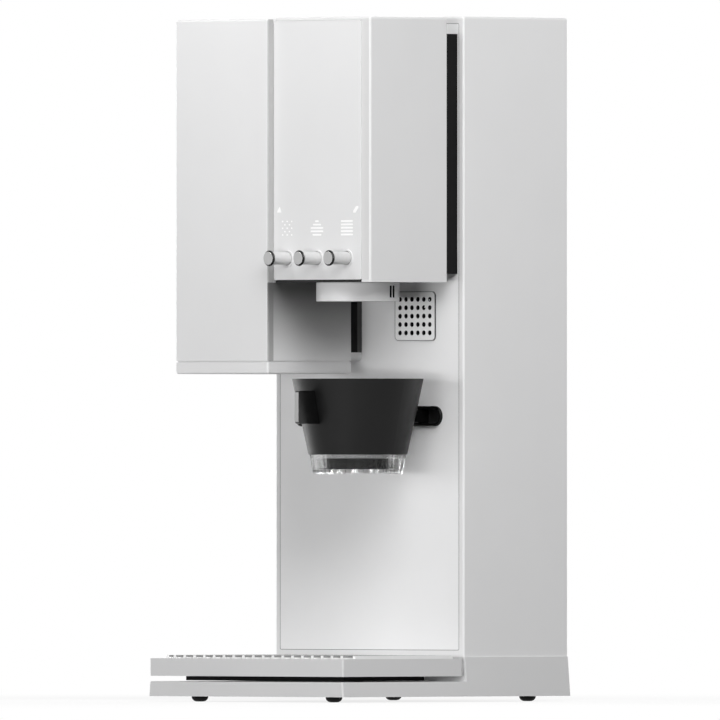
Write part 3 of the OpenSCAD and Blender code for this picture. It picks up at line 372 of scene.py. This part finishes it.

# %% [markdown]
# The casings are painted metal and moulded plastic in one pale grey, with the dry satin of a powder
# coat. Powder paint is never quite smooth: it has a faint orange peel a fraction of a millimetre across,
# which spreads the lamps' reflections into long soft gradients. Each casing has its own shade.

# %% Painted and moulded casings
# A near-black painted shade for places no light gets out of: holes, slots, the wall behind the vent, the
# brew head's underside.
PAINTED_SHADE_BLACK = 0.012
COOL = 1.004
PEEL = 0.9 * MM


def satin_casing(name, shade, gloss=0.50, wander=0.04):
    """Pale powder coat or moulded plastic with a faint peel."""
    material, tree, shader = finish(name, gloss)
    shader.inputs["Specular IOR Level"].default_value = 0.25
    mottle(tree, shader, (shade, shade, shade * COOL), depth=0.012, size=60 * MM)
    gloss_spread(tree, shader, gloss - wander, gloss + wander, size=9 * MM)
    grain(tree, shader, height=0.006 * MM, size=PEEL)
    return material


head_paint = satin_casing("head_paint", 0.765)
brew_paint = satin_casing("brew_paint", 0.75)
shell_paint = satin_casing("shell_paint", 0.82)
base_plastic = satin_casing("base_plastic", 0.70, gloss=0.52)
band_plastic = satin_casing("band_plastic", 0.77, gloss=0.52)
wall_plastic = satin_casing("wall_plastic", 0.90, gloss=0.52)
# The vent plate starts in near-black painted shade for its hole walls; its front and back are painted pale
# later.
vent_plastic = satin_casing("vent_plastic", PAINTED_SHADE_BLACK)
lid_plastic = satin_casing("lid_plastic", 0.74, gloss=0.46)
shower_plastic = satin_casing("shower_plastic", 0.92, gloss=0.46)
panel_face = satin_casing("panel_face", 0.75, gloss=0.42, wander=0.01)
casings = [head_paint, brew_paint, shell_paint, base_plastic, band_plastic, wall_plastic, vent_plastic,
           lid_plastic, shower_plastic, panel_face]
print("casing finishes:", [m.name for m in casings])

# %% [markdown]
# The two heads shade each other. The grinder's side fades into the dark below the brew head, and its
# narrow strip beside the panel is greyer than its front, as is the frame on the panel's other side. The
# brew head's underside lies in deep shadow and is painted near black. A white studio fills such places with
# light, so their shade is put into the paint with masks: all of these are painted shade.

# %% Shade the heads
SKIN = 0.7
STRIP_PAINTED_SHADE = 0.43
COLLARS = 0.4
FADE_LOW, FADE_HIGH = 216, 262
FADE_PAINTED_SHADE = 0.14
UNDERSIDE = 1.6
UNDERSIDE_RIM = 7.8
FRAME_EDGE = 1.2
FRAME_SKIN = 0.3
FRAME_PAINTED_SHADE = 0.66

grinder_side = box_mm("grinder_casing")[1].x - SKIN
panel_front = box_mm("control_panel")[0].y + COLLARS
brew_low, brew_high = box_mm("brew_casing")
# Painted shade: the grinder's narrow strip beside the panel is greyer.
repaint_box(head_paint, (grinder_side, -FAR, 0), (FAR, panel_front, FAR), STRIP_PAINTED_SHADE)

head_tree = head_paint.node_tree
# Painted shade: the grinder's side darkens upwards under the brew head.
below_brew = within(head_tree, (grinder_side, -FAR, 0), (FAR, FAR, brew_low.z))
fade = calculate(head_tree, "MULTIPLY", below_brew, rising(head_tree, FADE_LOW, FADE_HIGH))
repaint(head_paint, fade, FADE_PAINTED_SHADE)

underside_top = brew_low.z + UNDERSIDE
# Painted shade: the brew head's underside is near black.
repaint_box(brew_paint, (-FAR, -FAR, 0), (brew_high.x - UNDERSIDE_RIM, FAR, underside_top), PAINTED_SHADE_BLACK)
# Painted shade: the frame beside the panel is greyer.
frame_end = (brew_high.x - FRAME_EDGE, brew_low.y + FRAME_SKIN, FAR)
repaint_box(brew_paint, (-FAR, -FAR, underside_top), frame_end, FRAME_PAINTED_SHADE)
print("grinder's side fades between", FADE_LOW, "and", FADE_HIGH, "mm")

# %% [markdown]
# The vent's holes and the shower's slots look black, because no light comes back out of them, so their
# shade is painted in. The vent plate's paint starts out near black and only its front and back are pale, so
# the walls of its holes keep a painted shade. The wall behind it gets a painted shade inside the plate's
# rim, and each slot gets a dark box of painted shade.

# %% Shade the vent and the shower
VENT_SHADE = 0.90
VENT_RIM = 1
BEHIND_VENT = 0.1
SLOT_STARTS = (28.85, 32.05)
SLOT_WIDTH = 1.9
SLOT_INNER, SLOT_OUTER = 2.6, 0.3
SLOT_BELOW, SLOT_ABOVE = 2.4, 2

# The vent plate's front and back are painted pale; the walls of its holes keep the painted shade.
repaint(vent_plastic, facing(vent_plastic.node_tree, "Y", least=0.5), VENT_SHADE)
vent_low, vent_high = box_mm("vent_grille")
# Painted shade: the wall behind the vent is near black inside the plate's rim.
repaint_box(
    wall_plastic, (vent_low.x + VENT_RIM, vent_high.y + BEHIND_VENT, vent_low.z + VENT_RIM),
    (vent_high.x - VENT_RIM, FAR, vent_high.z - VENT_RIM), PAINTED_SHADE_BLACK
)
shower_low, shower_high = box_mm("shower_head")
# Painted shade: a near-black box inside each of the shower's slots.
for start in SLOT_STARTS:
    slot_y = shower_low.y + start
    repaint_box(
        shower_plastic, (shower_high.x - SLOT_INNER, slot_y, shower_low.z + SLOT_BELOW),
        (shower_high.x - SLOT_OUTER, slot_y + SLOT_WIDTH, shower_high.z - SLOT_ABOVE), PAINTED_SHADE_BLACK
    )
print("dark slots:", len(SLOT_STARTS))

# %% [markdown]
# The dark pieces differ mostly in gloss. The arm, its track and the dripper's handle are polished black,
# the neck and the scale's core are dull, the dripper is a soft charcoal, and the feet are rubber. Black
# gloss is kept a little weak, because a white studio would otherwise wash it out to grey. The handle's
# front edge gets a paler painted reflection, and the neck's collar near the wall is painted paler, by the
# same masks.

# %% Dark mouldings
COOL_BLACK = 1.02
HANDLE_EDGE = 0.25
HANDLE_PAINTED_REFLECTION = 0.42
COLLAR_FROM_Y = 4.3
COLLAR_TOP = 268
COLLAR_SHADE = 0.09


def dark_moulding(name, shade, gloss, shine=0.5, grain_height=0.01, grain_size=0.35):
    """A dark plastic or rubber with a moulded grain."""
    material, tree, shader = finish(name, gloss)
    mottle(tree, shader, (shade, shade, shade * COOL_BLACK), depth=0.10, size=25 * MM)
    gloss_spread(tree, shader, low=gloss - 0.04, high=gloss + 0.06, size=6 * MM)
    grain(tree, shader, grain_height * MM, grain_size * MM)
    shader.inputs["Specular IOR Level"].default_value = shine
    return material


black_gloss = dark_moulding("black_gloss", 0.004, 0.12, shine=0.18, grain_height=0.002, grain_size=1.5)
handle_gloss = dark_moulding("handle_gloss", 0.004, 0.16, shine=0.45, grain_height=0.002, grain_size=1.5)
knob_gloss = dark_moulding("knob_gloss", 0.003, 0.14, shine=0.25, grain_height=0.001, grain_size=1.5)
black_dull = dark_moulding("black_dull", 0.006, 0.55, shine=0.10)
neck_dull = dark_moulding("neck_dull", 0.006, 0.55, shine=0.10)
dark_plastic = dark_moulding("dark_plastic", 0.05, 0.50, shine=0.4)
dripper_charcoal = dark_moulding(
    "dripper_charcoal", 0.006, 0.42, shine=0.18, grain_height=0.012, grain_size=0.30
)
foot_rubber = dark_moulding("foot_rubber", 0.006, 0.62, shine=0.15, grain_height=0.02, grain_size=0.4)
motor_paint = dark_moulding("motor_paint", 0.06, 0.38)

# Painted reflection: a paler strip along the handle's front edge.
handle_edge = box_mm("dripper_handle")[0].y + HANDLE_EDGE
repaint_box(handle_gloss, (-FAR, -FAR, 0), (FAR, handle_edge, FAR), HANDLE_PAINTED_REFLECTION)
repaint_box(neck_dull, (-FAR, COLLAR_FROM_Y, 0), (FAR, FAR, COLLAR_TOP), COLLAR_SHADE)
print("dark finishes ready, handle's edge at", round(handle_edge, 1), "mm")

# %% [markdown]
# Metal is told by its brushing. Long thin noise, stretched along the stroke, makes the lines of the
# drip grille and the rods. The knobs are turned, so their lines run round the axis on the barrel and
# straight across the end.

# %% Metals
STROKE_DETAIL = 3.0


def brushed(name, shade, gloss, stretch, line=0.16):
    """Brushed metal, its strokes along the axis that is stretched least."""
    material, tree, shader = finish(name, gloss, metallic=1.0)
    strokes = noise(tree, where(tree, stretch), line * MM, STROKE_DETAIL)
    tone = between(tree, strokes, 0, 1)
    light, dark = (shade * 1.05,) * 3, (shade * 0.93,) * 3
    tree.links.new(mix_colours(tree, tone, dark, light), shader.inputs["Base Color"])
    tree.links.new(between(tree, strokes, gloss - 0.06, gloss + 0.08), shader.inputs["Roughness"])
    grain(tree, shader, 0.004 * MM, line * MM, stretch, STROKE_DETAIL)
    return material


grille_steel = brushed("grille_steel", 0.66, 0.34, (1, 0.03, 1))
rod_steel = brushed("rod_steel", 0.60, 0.22, (0.03, 1, 1))
burr_steel = brushed("burr_steel", 0.55, 0.30, (1, 1, 0.2))
cast_alloy = brushed("cast_alloy", 0.62, 0.45, (1, 1, 1), line=0.5)
knob_face_metal = brushed("knob_face_metal", 0.42, 0.34, (1, 1, 0.05))
knob_edge_metal = brushed("knob_edge_metal", 0.90, 0.15, (1, 1, 1), line=1.5)
knob_barrel_metal = brushed("knob_barrel_metal", 0.66, 0.38, (0.2, 4, 0.2), line=0.5)
knob_barrel_metal.node_tree.nodes["Principled BSDF"].inputs["Metallic"].default_value = 0.3
print("metal finishes ready")

# %% [markdown]
# The drip grille is a frame with raised bars. Only the tops of the bars are bare metal. Their sides face
# the next bar and get a dark painted shade, their ends catch the front lamp and get a pale painted
# highlight, and the frame and ribs under them are pale, as are the outer sides. Masks by direction tell
# sides, ends and tops apart.

# %% Shade the grille
BAR_SIDE_PAINTED_SHADE = 0.28
BAR_END_PAINTED_HIGHLIGHT = 0.85
RIB_SHADE = 0.80
BAR_PROUD = 1.2
OUTER_SKIN = 0.4

grille_tree = grille_steel.node_tree
grille_shader = grille_tree.nodes["Principled BSDF"]
grille_tree.links.new(facing(grille_tree, "Z", least=0.5), grille_shader.inputs["Metallic"])
# Painted shade on the bars' sides, and a painted highlight on their ends.
repaint(grille_steel, facing(grille_tree, "X", least=0.7), BAR_SIDE_PAINTED_SHADE)
repaint(grille_steel, facing(grille_tree, "Y", least=0.7), BAR_END_PAINTED_HIGHLIGHT)
bars_low, bars_high = box_mm("drip_grille")
repaint_box(grille_steel, (-FAR, -FAR, 0), (FAR, FAR, bars_high.z - BAR_PROUD), RIB_SHADE)
repaint_box(grille_steel, (bars_high.x - OUTER_SKIN, -FAR, 0), (FAR, FAR, FAR), RIB_SHADE)
repaint_box(grille_steel, (-FAR, -FAR, 0), (bars_low.x + OUTER_SKIN, FAR, FAR), RIB_SHADE)
print("grille bars:", round(bars_high.y - bars_low.y, 1), "mm long")

# %% [markdown]
# The ring under the dripper is clear, and the tank and the hopper are smoked. They are real solids with
# an inside and an outside, so a transmitting shader bends the light on both faces by itself. The ring's
# many flutes would turn it grey, so it bends less and is half see-through.

# %% Clear plastics
def clear_plastic(name, tint, gloss):
    """Clear moulded plastic with the faint ripple of a mould."""
    material, tree, shader = finish(name, gloss)
    mottle(tree, shader, tint, depth=0.01, size=20 * MM)
    grain(tree, shader, height=0.004 * MM, size=2 * MM)
    shader.inputs["Transmission Weight"].default_value = 1
    shader.inputs["IOR"].default_value = 1.49
    return material


ring_clear = clear_plastic("ring_clear", (0.97, 0.98, 0.98), gloss=0.03)
ring_shader = ring_clear.node_tree.nodes["Principled BSDF"]
ring_shader.inputs["IOR"].default_value = 1.3
ring_shader.inputs["Alpha"].default_value = 0.5
ring_shader.inputs["Specular IOR Level"].default_value = 0.3
tank_smoke = clear_plastic("tank_smoke", (0.70, 0.74, 0.76), gloss=0.05)
guide_frost = clear_plastic("guide_frost", (0.95, 0.96, 0.98), gloss=0.45)
print("clear finishes:", [m.name for m in (ring_clear, tank_smoke, guide_frost)])

# %% [markdown]
# Two finishes are for the inside only. The hoses are milky silicone, which lets a little light in under its
# skin. The boards have a green mask with paler tracks, and a brick pattern, turned upright, draws those
# without a picture.

# %% Silicone and boards
TRACK_GRID = 14 * MM

silicone, silicone_tree, silicone_shader = finish("silicone", 0.5)
mottle(silicone_tree, silicone_shader, (0.62, 0.62, 0.60), depth=0.03, size=12 * MM)
grain(silicone_tree, silicone_shader, height=0.01 * MM, size=0.6 * MM)
silicone_shader.inputs["Subsurface Weight"].default_value = 0.2
silicone_shader.inputs["Subsurface Scale"].default_value = 2 * MM

board, board_tree, board_shader = finish("board", 0.42)
tracks = board_tree.nodes.new("ShaderNodeTexBrick")
tracks.inputs["Scale"].default_value = 1 / TRACK_GRID
tracks.inputs["Mortar Size"].default_value = 0.03
tracks.inputs["Color1"].default_value = (0.012, 0.075, 0.040, 1)
tracks.inputs["Color2"].default_value = (0.010, 0.062, 0.034, 1)
tracks.inputs["Mortar"].default_value = (0.05, 0.17, 0.08, 1)
upright = board_tree.nodes.new("ShaderNodeMapping")
upright.inputs["Rotation"].default_value = (math.radians(90), 0, 0)
board_tree.links.new(where(board_tree), upright.inputs["Vector"])
board_tree.links.new(upright.outputs["Vector"], tracks.inputs["Vector"])
board_tree.links.new(tracks.outputs["Color"], board_shader.inputs["Base Color"])
print("inner finishes:", silicone.name, board.name)

# %% [markdown]
# Each solid now takes its finish. The solids keep their own meshes: a finish is only put in the
# material slot that the solid already has.

# %% Put the finishes on the solids
WEARS = {
    head_paint: ["grinder_casing"],
    brew_paint: ["brew_casing"],
    shell_paint: ["tower_shell"],
    base_plastic: ["base_plate", "tower_foot", "drip_tray", "neck_shelf", "back_cover"],
    band_plastic: ["grinder_base"],
    wall_plastic: ["front_panel"],
    vent_plastic: ["vent_grille"],
    lid_plastic: ["hopper_lid", "tank_lid"],
    shower_plastic: ["shower_head"],
    panel_face: ["control_panel"],
    black_gloss: ["track_bezel", "carriage_arm"],
    handle_gloss: ["dripper_handle"],
    neck_dull: ["neck"],
    black_dull: ["scale_carrier", "fan_frame", "fan_rotor", "grounds_chute", "knob_encoders", "mains_inlet",
                 "drip_valve"],
    dark_plastic: ["bottom_cover", "water_pump", "power_supply", "tank_dock", "carriage_block"],
    dripper_charcoal: ["dripper_cone"],
    foot_rubber: ["rubber_feet"],
    motor_paint: ["grinder_motor", "carriage_motor"],
    grille_steel: ["drip_grille"],
    rod_steel: ["guide_rods", "lead_screw", "cover_screws", "grind_plunger", "water_plunger",
                "recipe_plunger"],
    burr_steel: ["ring_burr", "burr_rotor"],
    cast_alloy: ["burr_housing", "rail_brackets", "heater", "load_cell"],
    knob_barrel_metal: ["grind_knob", "water_knob", "recipe_knob"],
    ring_clear: ["dripper_ring"],
    tank_smoke: ["water_tank", "bean_hopper"],
    guide_frost: ["light_guides"],
    silicone: ["water_hoses", "water_nozzle"],
    board: ["display_board", "main_board"],
}
for material, names in WEARS.items():
    for name in names:
        nodes[name].material_slots[0].material = material
bare = sorted(set(nodes) - {name for names in WEARS.values() for name in names})
print("solids with a finish:", len(nodes) - len(bare), "bare:", bare)

# %% [markdown]
# No moulded or pressed edge is truly sharp. A bevel of a few tenths of a millimetre catches the lamps
# along every edge, and that thin bright line is what makes a casing look real. The imported faces don't
# share their corners, so a weld comes first, and weighted normals keep the flat faces flat.

# %% Soften the edges
WELD = 0.002
SEGMENTS = 3
SHARP_FROM = math.radians(35)


def soften(name, width):
    """Welds the solid's faces and rounds its sharp edges."""
    weld = nodes[name].modifiers.new("weld", "WELD")
    weld.merge_threshold = WELD * MM
    bevel = nodes[name].modifiers.new("soft_edges", "BEVEL")
    bevel.width = width * MM
    bevel.segments = SEGMENTS
    bevel.limit_method = "ANGLE"
    bevel.angle_limit = SHARP_FROM
    bevel.use_clamp_overlap = True
    flat = nodes[name].modifiers.new("flat_faces", "WEIGHTED_NORMAL")
    flat.keep_sharp = False


EDGES = {
    0.5: ["neck_shelf", "grinder_base", "tank_lid"],
    0.4: ["control_panel", "front_panel", "back_cover", "dripper_handle", "carriage_arm", "shower_head"],
    0.3: ["track_bezel", "drip_grille", "neck", "scale_carrier", "hopper_lid"],
    0.25: ["tower_foot", "base_plate", "drip_tray"],
}
for width, names in EDGES.items():
    for name in names:
        soften(name, width)
print("softened:", sum(len(names) for names in EDGES.values()), "solids")

# %% [markdown]
# The knobs, the feet and the fan's hub are round, so one small lathe makes them all. In Blender a lathe is
# a profile swept around an axis. The profile is a list of corners, each with its radius, its place along
# the axis and the number of the finish that starts there, so that every band can have its own.

# %% Build a lathe
ROUND = 72
CREASE = math.radians(30)


def turn(name, profile, finishes, place):
    """Sweeps a profile around an axis; place puts a point of the lathe in the machine."""
    shape = bmesh.new()
    rings = []
    for radius, along, _ in profile:
        steps = ROUND if radius > 0 else 1
        ring = []
        for i in range(steps):
            t = 2 * math.pi * i / steps
            ring.append(shape.verts.new(place(radius * math.cos(t), radius * math.sin(t), along)))
        rings.append(ring)
    for (first, second), (_, _, band) in zip(zip(rings, rings[1:]), profile):
        for i in range(ROUND):
            corners = [first[i % len(first)], first[(i + 1) % len(first)],
                       second[(i + 1) % len(second)], second[i % len(second)]]
            face = shape.faces.new(list(dict.fromkeys(corners)))
            face.material_index = band
            face.smooth = True
    bmesh.ops.recalc_face_normals(shape, faces=shape.faces)
    piece = make_object(name, shape, finishes)
    piece.data.set_sharp_from_angle(angle=CREASE)
    return piece


print("lathe ready:", ROUND, "steps round")

# %% [markdown]
# Each knob has a pale barrel with a socket for its plunger, a black cap that stands out over the barrel, a
# thin bright bevel and a brushed end face. The profile starts at the bottom of the socket, goes out and
# round the barrel, and ends in the middle of the face.

# %% Turn the knobs
KNOBS = ("grind_knob", "water_knob", "recipe_knob")
BARREL, BAND, BEVEL, FACE = range(4)
SOCKET = 3.05
SOCKET_DEPTH = 14.1
CAP_STEP = 0.9
CAP_LENGTH = 1.6
BEVEL_WIDTH = 0.98

for name in KNOBS:
    low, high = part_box(name)
    middle = (low + high) / 2
    length = (high.y - low.y) / MM
    radius = (high.x - low.x) / 2 / MM
    barrel = radius - CAP_STEP
    cap = length - CAP_LENGTH
    profile = [
        (0, SOCKET_DEPTH, BARREL), (SOCKET, SOCKET_DEPTH, BARREL), (SOCKET, 0.2, BARREL),
        (SOCKET + 0.2, 0, BARREL), (barrel - 0.3, 0, BARREL), (barrel, 0.3, BARREL), (barrel, cap, BARREL),
        (barrel + 0.05, cap + 0.05, BAND), (radius - 0.1, cap + 0.18, BAND), (radius, cap + 0.28, BAND),
        (radius, cap + 0.55, BAND), (radius - 0.06, cap + 0.65, BAND),
        (radius - BEVEL_WIDTH, length - 0.05, BEVEL), (radius - BEVEL_WIDTH - 0.06, length, FACE),
        (0, length, FACE),
    ]
    piece = turn(
        "turned_" + name, profile, [knob_barrel_metal, knob_gloss, knob_edge_metal, knob_face_metal],
        lambda across, up, along: (middle.x + across * MM, high.y - along * MM, middle.z + up * MM)
    )
    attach(piece, name)
    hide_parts(name)
print("knobs turned:", round(length, 1), "mm long,", round(2 * radius, 1), "mm across")

# %% [markdown]
# The feet are low domes of black rubber. The same lathe makes them: the profile follows a quarter of an
# ellipse from the wide top to a small flat that stands on the worktop.

# %% Turn the feet
FOOT_RADIUS = 5.3
FOOT_FLAT = 1.8
FOOT_LIP = 0.2
DOME_SHARE = 0.9
DOME_STEPS = 12

low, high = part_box("rubber_feet")
foot_height = (high.z - low.z) / MM
profile = [(0, foot_height, 0), (FOOT_RADIUS - FOOT_LIP, foot_height, 0)]
for step in range(DOME_STEPS + 1):
    slope = math.pi / 2 * step / DOME_STEPS
    dome_radius = FOOT_FLAT + (FOOT_RADIUS - FOOT_FLAT) * math.cos(slope)
    profile.append((dome_radius, foot_height * DOME_SHARE * (1 - math.sin(slope)), 0))
profile.append((0, 0, 0))
for x in (low.x + FOOT_RADIUS * MM, high.x - FOOT_RADIUS * MM):
    for y in (low.y + FOOT_RADIUS * MM, high.y - FOOT_RADIUS * MM):
        side = ("right" if x > 0 else "left") + ("_front" if y < 0 else "_back")
        piece = turn(
            "foot_" + side, profile, [foot_rubber],
            lambda across, up, along: (x + across * MM, y + up * MM, along * MM)
        )
        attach(piece, "machine")
        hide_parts("rubber_feet")
print("feet turned:", round(2 * FOOT_RADIUS, 1), "mm across,", round(foot_height, 1), "mm high")

# %% [markdown]
# The fan behind the vent is seen through the holes in slices. Its blades are twisted: each one climbs
# along the axis while it sweeps round, so it can be drawn as a small grid of points on such a slope, with
# a second grid behind it for the thickness. The hub comes from the lathe.

# %% Twist the fan blades
BLADES = 7
SWEEP = math.radians(46)
CLIMB = 3.4
THICK = 0.7
CHORD_STEPS = 6
HUB = 5.5
HUB_EDGE = 0.5
HUB_BORE = 1.9
HUB_END = 1.0
BLADE_ROOT = 0.4
BLADE_MIDDLE = 3.5

vent_middle = (vent_low + vent_high) / 2
fan_low, fan_high = box_mm("fan_rotor")
fan_length = fan_high.y - fan_low.y
blade_tip = fan_high.x - vent_middle.x


def fan_place(across, up, along):
    """A place on the fan, from its axis and its front end."""
    return ((vent_middle.x + across) * MM, (fan_low.y + along) * MM, (vent_middle.z + up) * MM)


def blade_side(shape, blade, behind):
    """One side of a blade: rows of points at the root, the middle and the tip."""
    rows = []
    for radius in (HUB - BLADE_ROOT, (HUB + blade_tip) / 2, blade_tip):
        row = []
        for step in range(CHORD_STEPS + 1):
            share = step / CHORD_STEPS - 0.5
            t = 2 * math.pi * blade / BLADES + share * SWEEP
            along = BLADE_MIDDLE + share * CLIMB + behind
            row.append(shape.verts.new(fan_place(radius * math.cos(t), radius * math.sin(t), along)))
        rows.append(row)
    for inner, outer in zip(rows, rows[1:]):
        for i in range(CHORD_STEPS):
            shape.faces.new((inner[i], inner[i + 1], outer[i + 1], outer[i]))
    root, middle_row, tip = rows
    return [*root, middle_row[-1], *tip[::-1], middle_row[0]]


def join_rings(shape, first, second):
    """Faces all round between two closed rings of points."""
    for i in range(len(first)):
        j = (i + 1) % len(first)
        shape.faces.new((first[i], first[j], second[j], second[i]))


hub_profile = [
    (0, 0, 0), (HUB - HUB_EDGE, 0, 0), (HUB, HUB_EDGE, 0), (HUB, fan_length, 0),
    (HUB_BORE, fan_length, 0), (HUB_BORE, HUB_END, 0), (0, HUB_END, 0),
]
hub = turn("fan_hub", hub_profile, [black_dull], fan_place)
shape = bmesh.new()
for blade in range(BLADES):
    join_rings(shape, blade_side(shape, blade, -THICK / 2), blade_side(shape, blade, THICK / 2))
bmesh.ops.recalc_face_normals(shape, faces=shape.faces)
blades = make_object("fan_blades", shape, [black_dull])
for piece in (hub, blades):
    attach(piece, "fan")
    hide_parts("fan_rotor")
print("fan:", BLADES, "blades,", round(2 * blade_tip, 1), "mm across,", round(fan_length, 1), "mm long")

# %% [markdown]
# Three icons shine through the panel above the knobs: scattered grains, a water drop and a list. They
# are made of dots and bars a tenth of a millimetre thick, let halfway into the panel's face, with a
# finish that glows a little. A picture on the panel could do the same, but tiles stay sharp at any size.

# %% Make lit tiles
ICON_SINK = 0.06
ARC = [math.radians(a) for a in range(-90, 91, 15)]

icon_light, icon_tree, icon_shader = finish("icon_light", 0.4)
mottle(icon_tree, icon_shader, (0.9, 0.9, 0.9), depth=0.02, size=3 * MM)
icon_shader.inputs["Emission Color"].default_value = WHITE
icon_shader.inputs["Emission Strength"].default_value = 0.10


def panel_ring(shape, outline, sink):
    """The points of an outline of X and Z, this far behind the panel's face, all in millimetres."""
    return [shape.verts.new((x * MM, (panel_front + sink) * MM, z * MM)) for x, z in outline]


def bar(x, z, width, height):
    """The outline of a bar with round ends."""
    r = height / 2
    right = [(x + width / 2 - r + r * math.cos(t), z + r * math.sin(t)) for t in ARC]
    left = [(x - width / 2 + r - r * math.cos(t), z - r * math.sin(t)) for t in ARC]
    return right + left


def lit_icon(name, outlines):
    """One object of thin lit tiles that rides on the machine."""
    shape = bmesh.new()
    for outline in outlines:
        front = panel_ring(shape, outline, -ICON_SINK)
        back = panel_ring(shape, outline, ICON_SINK)
        shape.faces.new(front)
        shape.faces.new(back[::-1])
        join_rings(shape, back, front)
    bmesh.ops.recalc_face_normals(shape, faces=shape.faces)
    piece = make_object(name, shape, [icon_light])
    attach(piece, "machine")


print("tiles stand", ICON_SINK, "mm proud of the panel at", round(panel_front, 1), "mm")

# %% [markdown]
# All three icons have five rows on one grid, each above its own knob. The grains are set like bricks, the
# drop's bars grow and shrink, and the list's bars are all alike. Two small signal lights sit above them,
# near the panel's edges.

# %% Light the icons
ICON_Z = 300.6
ROWS = 5
ROW = 2.14
STROKE = 1.1
GRAIN_STEP = 4.07
GRAIN_WIDTH, GRAIN_HEIGHT = 1.3, 1.0
DROP_WIDTHS = (3.3, 7.3, 11.3, 11.3, 8.0)
LIST_WIDTHS = (10.8,) * ROWS
LEFT_SIGNAL = [(2.2, 310.6), (5.8, 310.6), (5.2, 312.8), (4.4, 314.2), (3.6, 313.2), (2.6, 311.9)]
RIGHT_SIGNAL = [(70.4, 310.2), (72.6, 310.2), (75.2, 313.6), (75.0, 314.4), (72.8, 314.2), (70.6, 311.4)]

row_heights = [ICON_Z + (ROWS // 2 - row) * ROW for row in range(ROWS)]
grain_x, drop_x, list_x = [sum(corner.x for corner in box_mm(name)) / 2 for name in KNOBS]
grains = []
for row, z in enumerate(row_heights):
    columns = (-1, 0, 1) if row % 2 == 0 else (-0.5, 0.5)
    grains += [bar(grain_x + c * GRAIN_STEP, z, GRAIN_WIDTH, GRAIN_HEIGHT) for c in columns]
lit_icon("grain_icon", grains)
lit_icon("drop_icon", [bar(drop_x, z, width, STROKE) for z, width in zip(row_heights, DROP_WIDTHS)])
lit_icon("list_icon", [bar(list_x, z, width, STROKE) for z, width in zip(row_heights, LIST_WIDTHS)])
lit_icon("left_signal", [LEFT_SIGNAL])
lit_icon("right_signal", [RIGHT_SIGNAL])

# %% [markdown]
# Where two mouldings meet there is a narrow gap that no light gets out of. The wall's panel lies in such a
# gap all round, and so does the vent plate. Each gap is drawn as a dark line of real thickness, a few
# tenths of a millimetre wide: the ring between two rounded rectangles.

# %% Draw the seams
SEAM_SINK = 0.05
VENT_INSET = 0.1


def rounded(left, right, low, high, corner):
    """The outline of a rounded rectangle, as X and Z in millimetres."""
    outline = []
    for x, z, start in ((right, high, 0), (left, high, 90), (left, low, 180), (right, low, 270)):
        at_x = x - math.copysign(corner, x - (left + right) / 2)
        at_z = z - math.copysign(corner, z - (low + high) / 2)
        for turned_by in range(0, 91, 15):
            t = math.radians(start + turned_by)
            outline.append((at_x + corner * math.cos(t), at_z + corner * math.sin(t)))
    return outline


def seam(name, left, right, low, high, corner, y, width):
    """A dark line along a rounded rectangle, let halfway into the face at y."""
    shape = bmesh.new()
    rings = []
    for grow, sink in ((0, -SEAM_SINK), (0, SEAM_SINK), (-width, SEAM_SINK), (-width, -SEAM_SINK)):
        outline = rounded(left - grow, right + grow, low - grow, high + grow, corner + grow)
        rings.append([shape.verts.new((x * MM, (y + sink) * MM, z * MM)) for x, z in outline])
    for first, second in zip(rings, rings[1:] + rings[:1]):
        join_rings(shape, first, second)
    bmesh.ops.recalc_face_normals(shape, faces=shape.faces)
    piece = make_object(name, shape, [black_dull])
    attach(piece, "machine")


wall_face = vent_high.y
seam("wall_seam", left=-80.5, right=80.5, low=32.7, high=430.8, corner=1.0, y=wall_face, width=0.25)
seam(
    "vent_seam", left=vent_low.x + VENT_INSET, right=vent_high.x - VENT_INSET,
    low=vent_low.z + VENT_INSET, high=vent_high.z - VENT_INSET, corner=2.9, y=vent_low.y, width=0.3
)
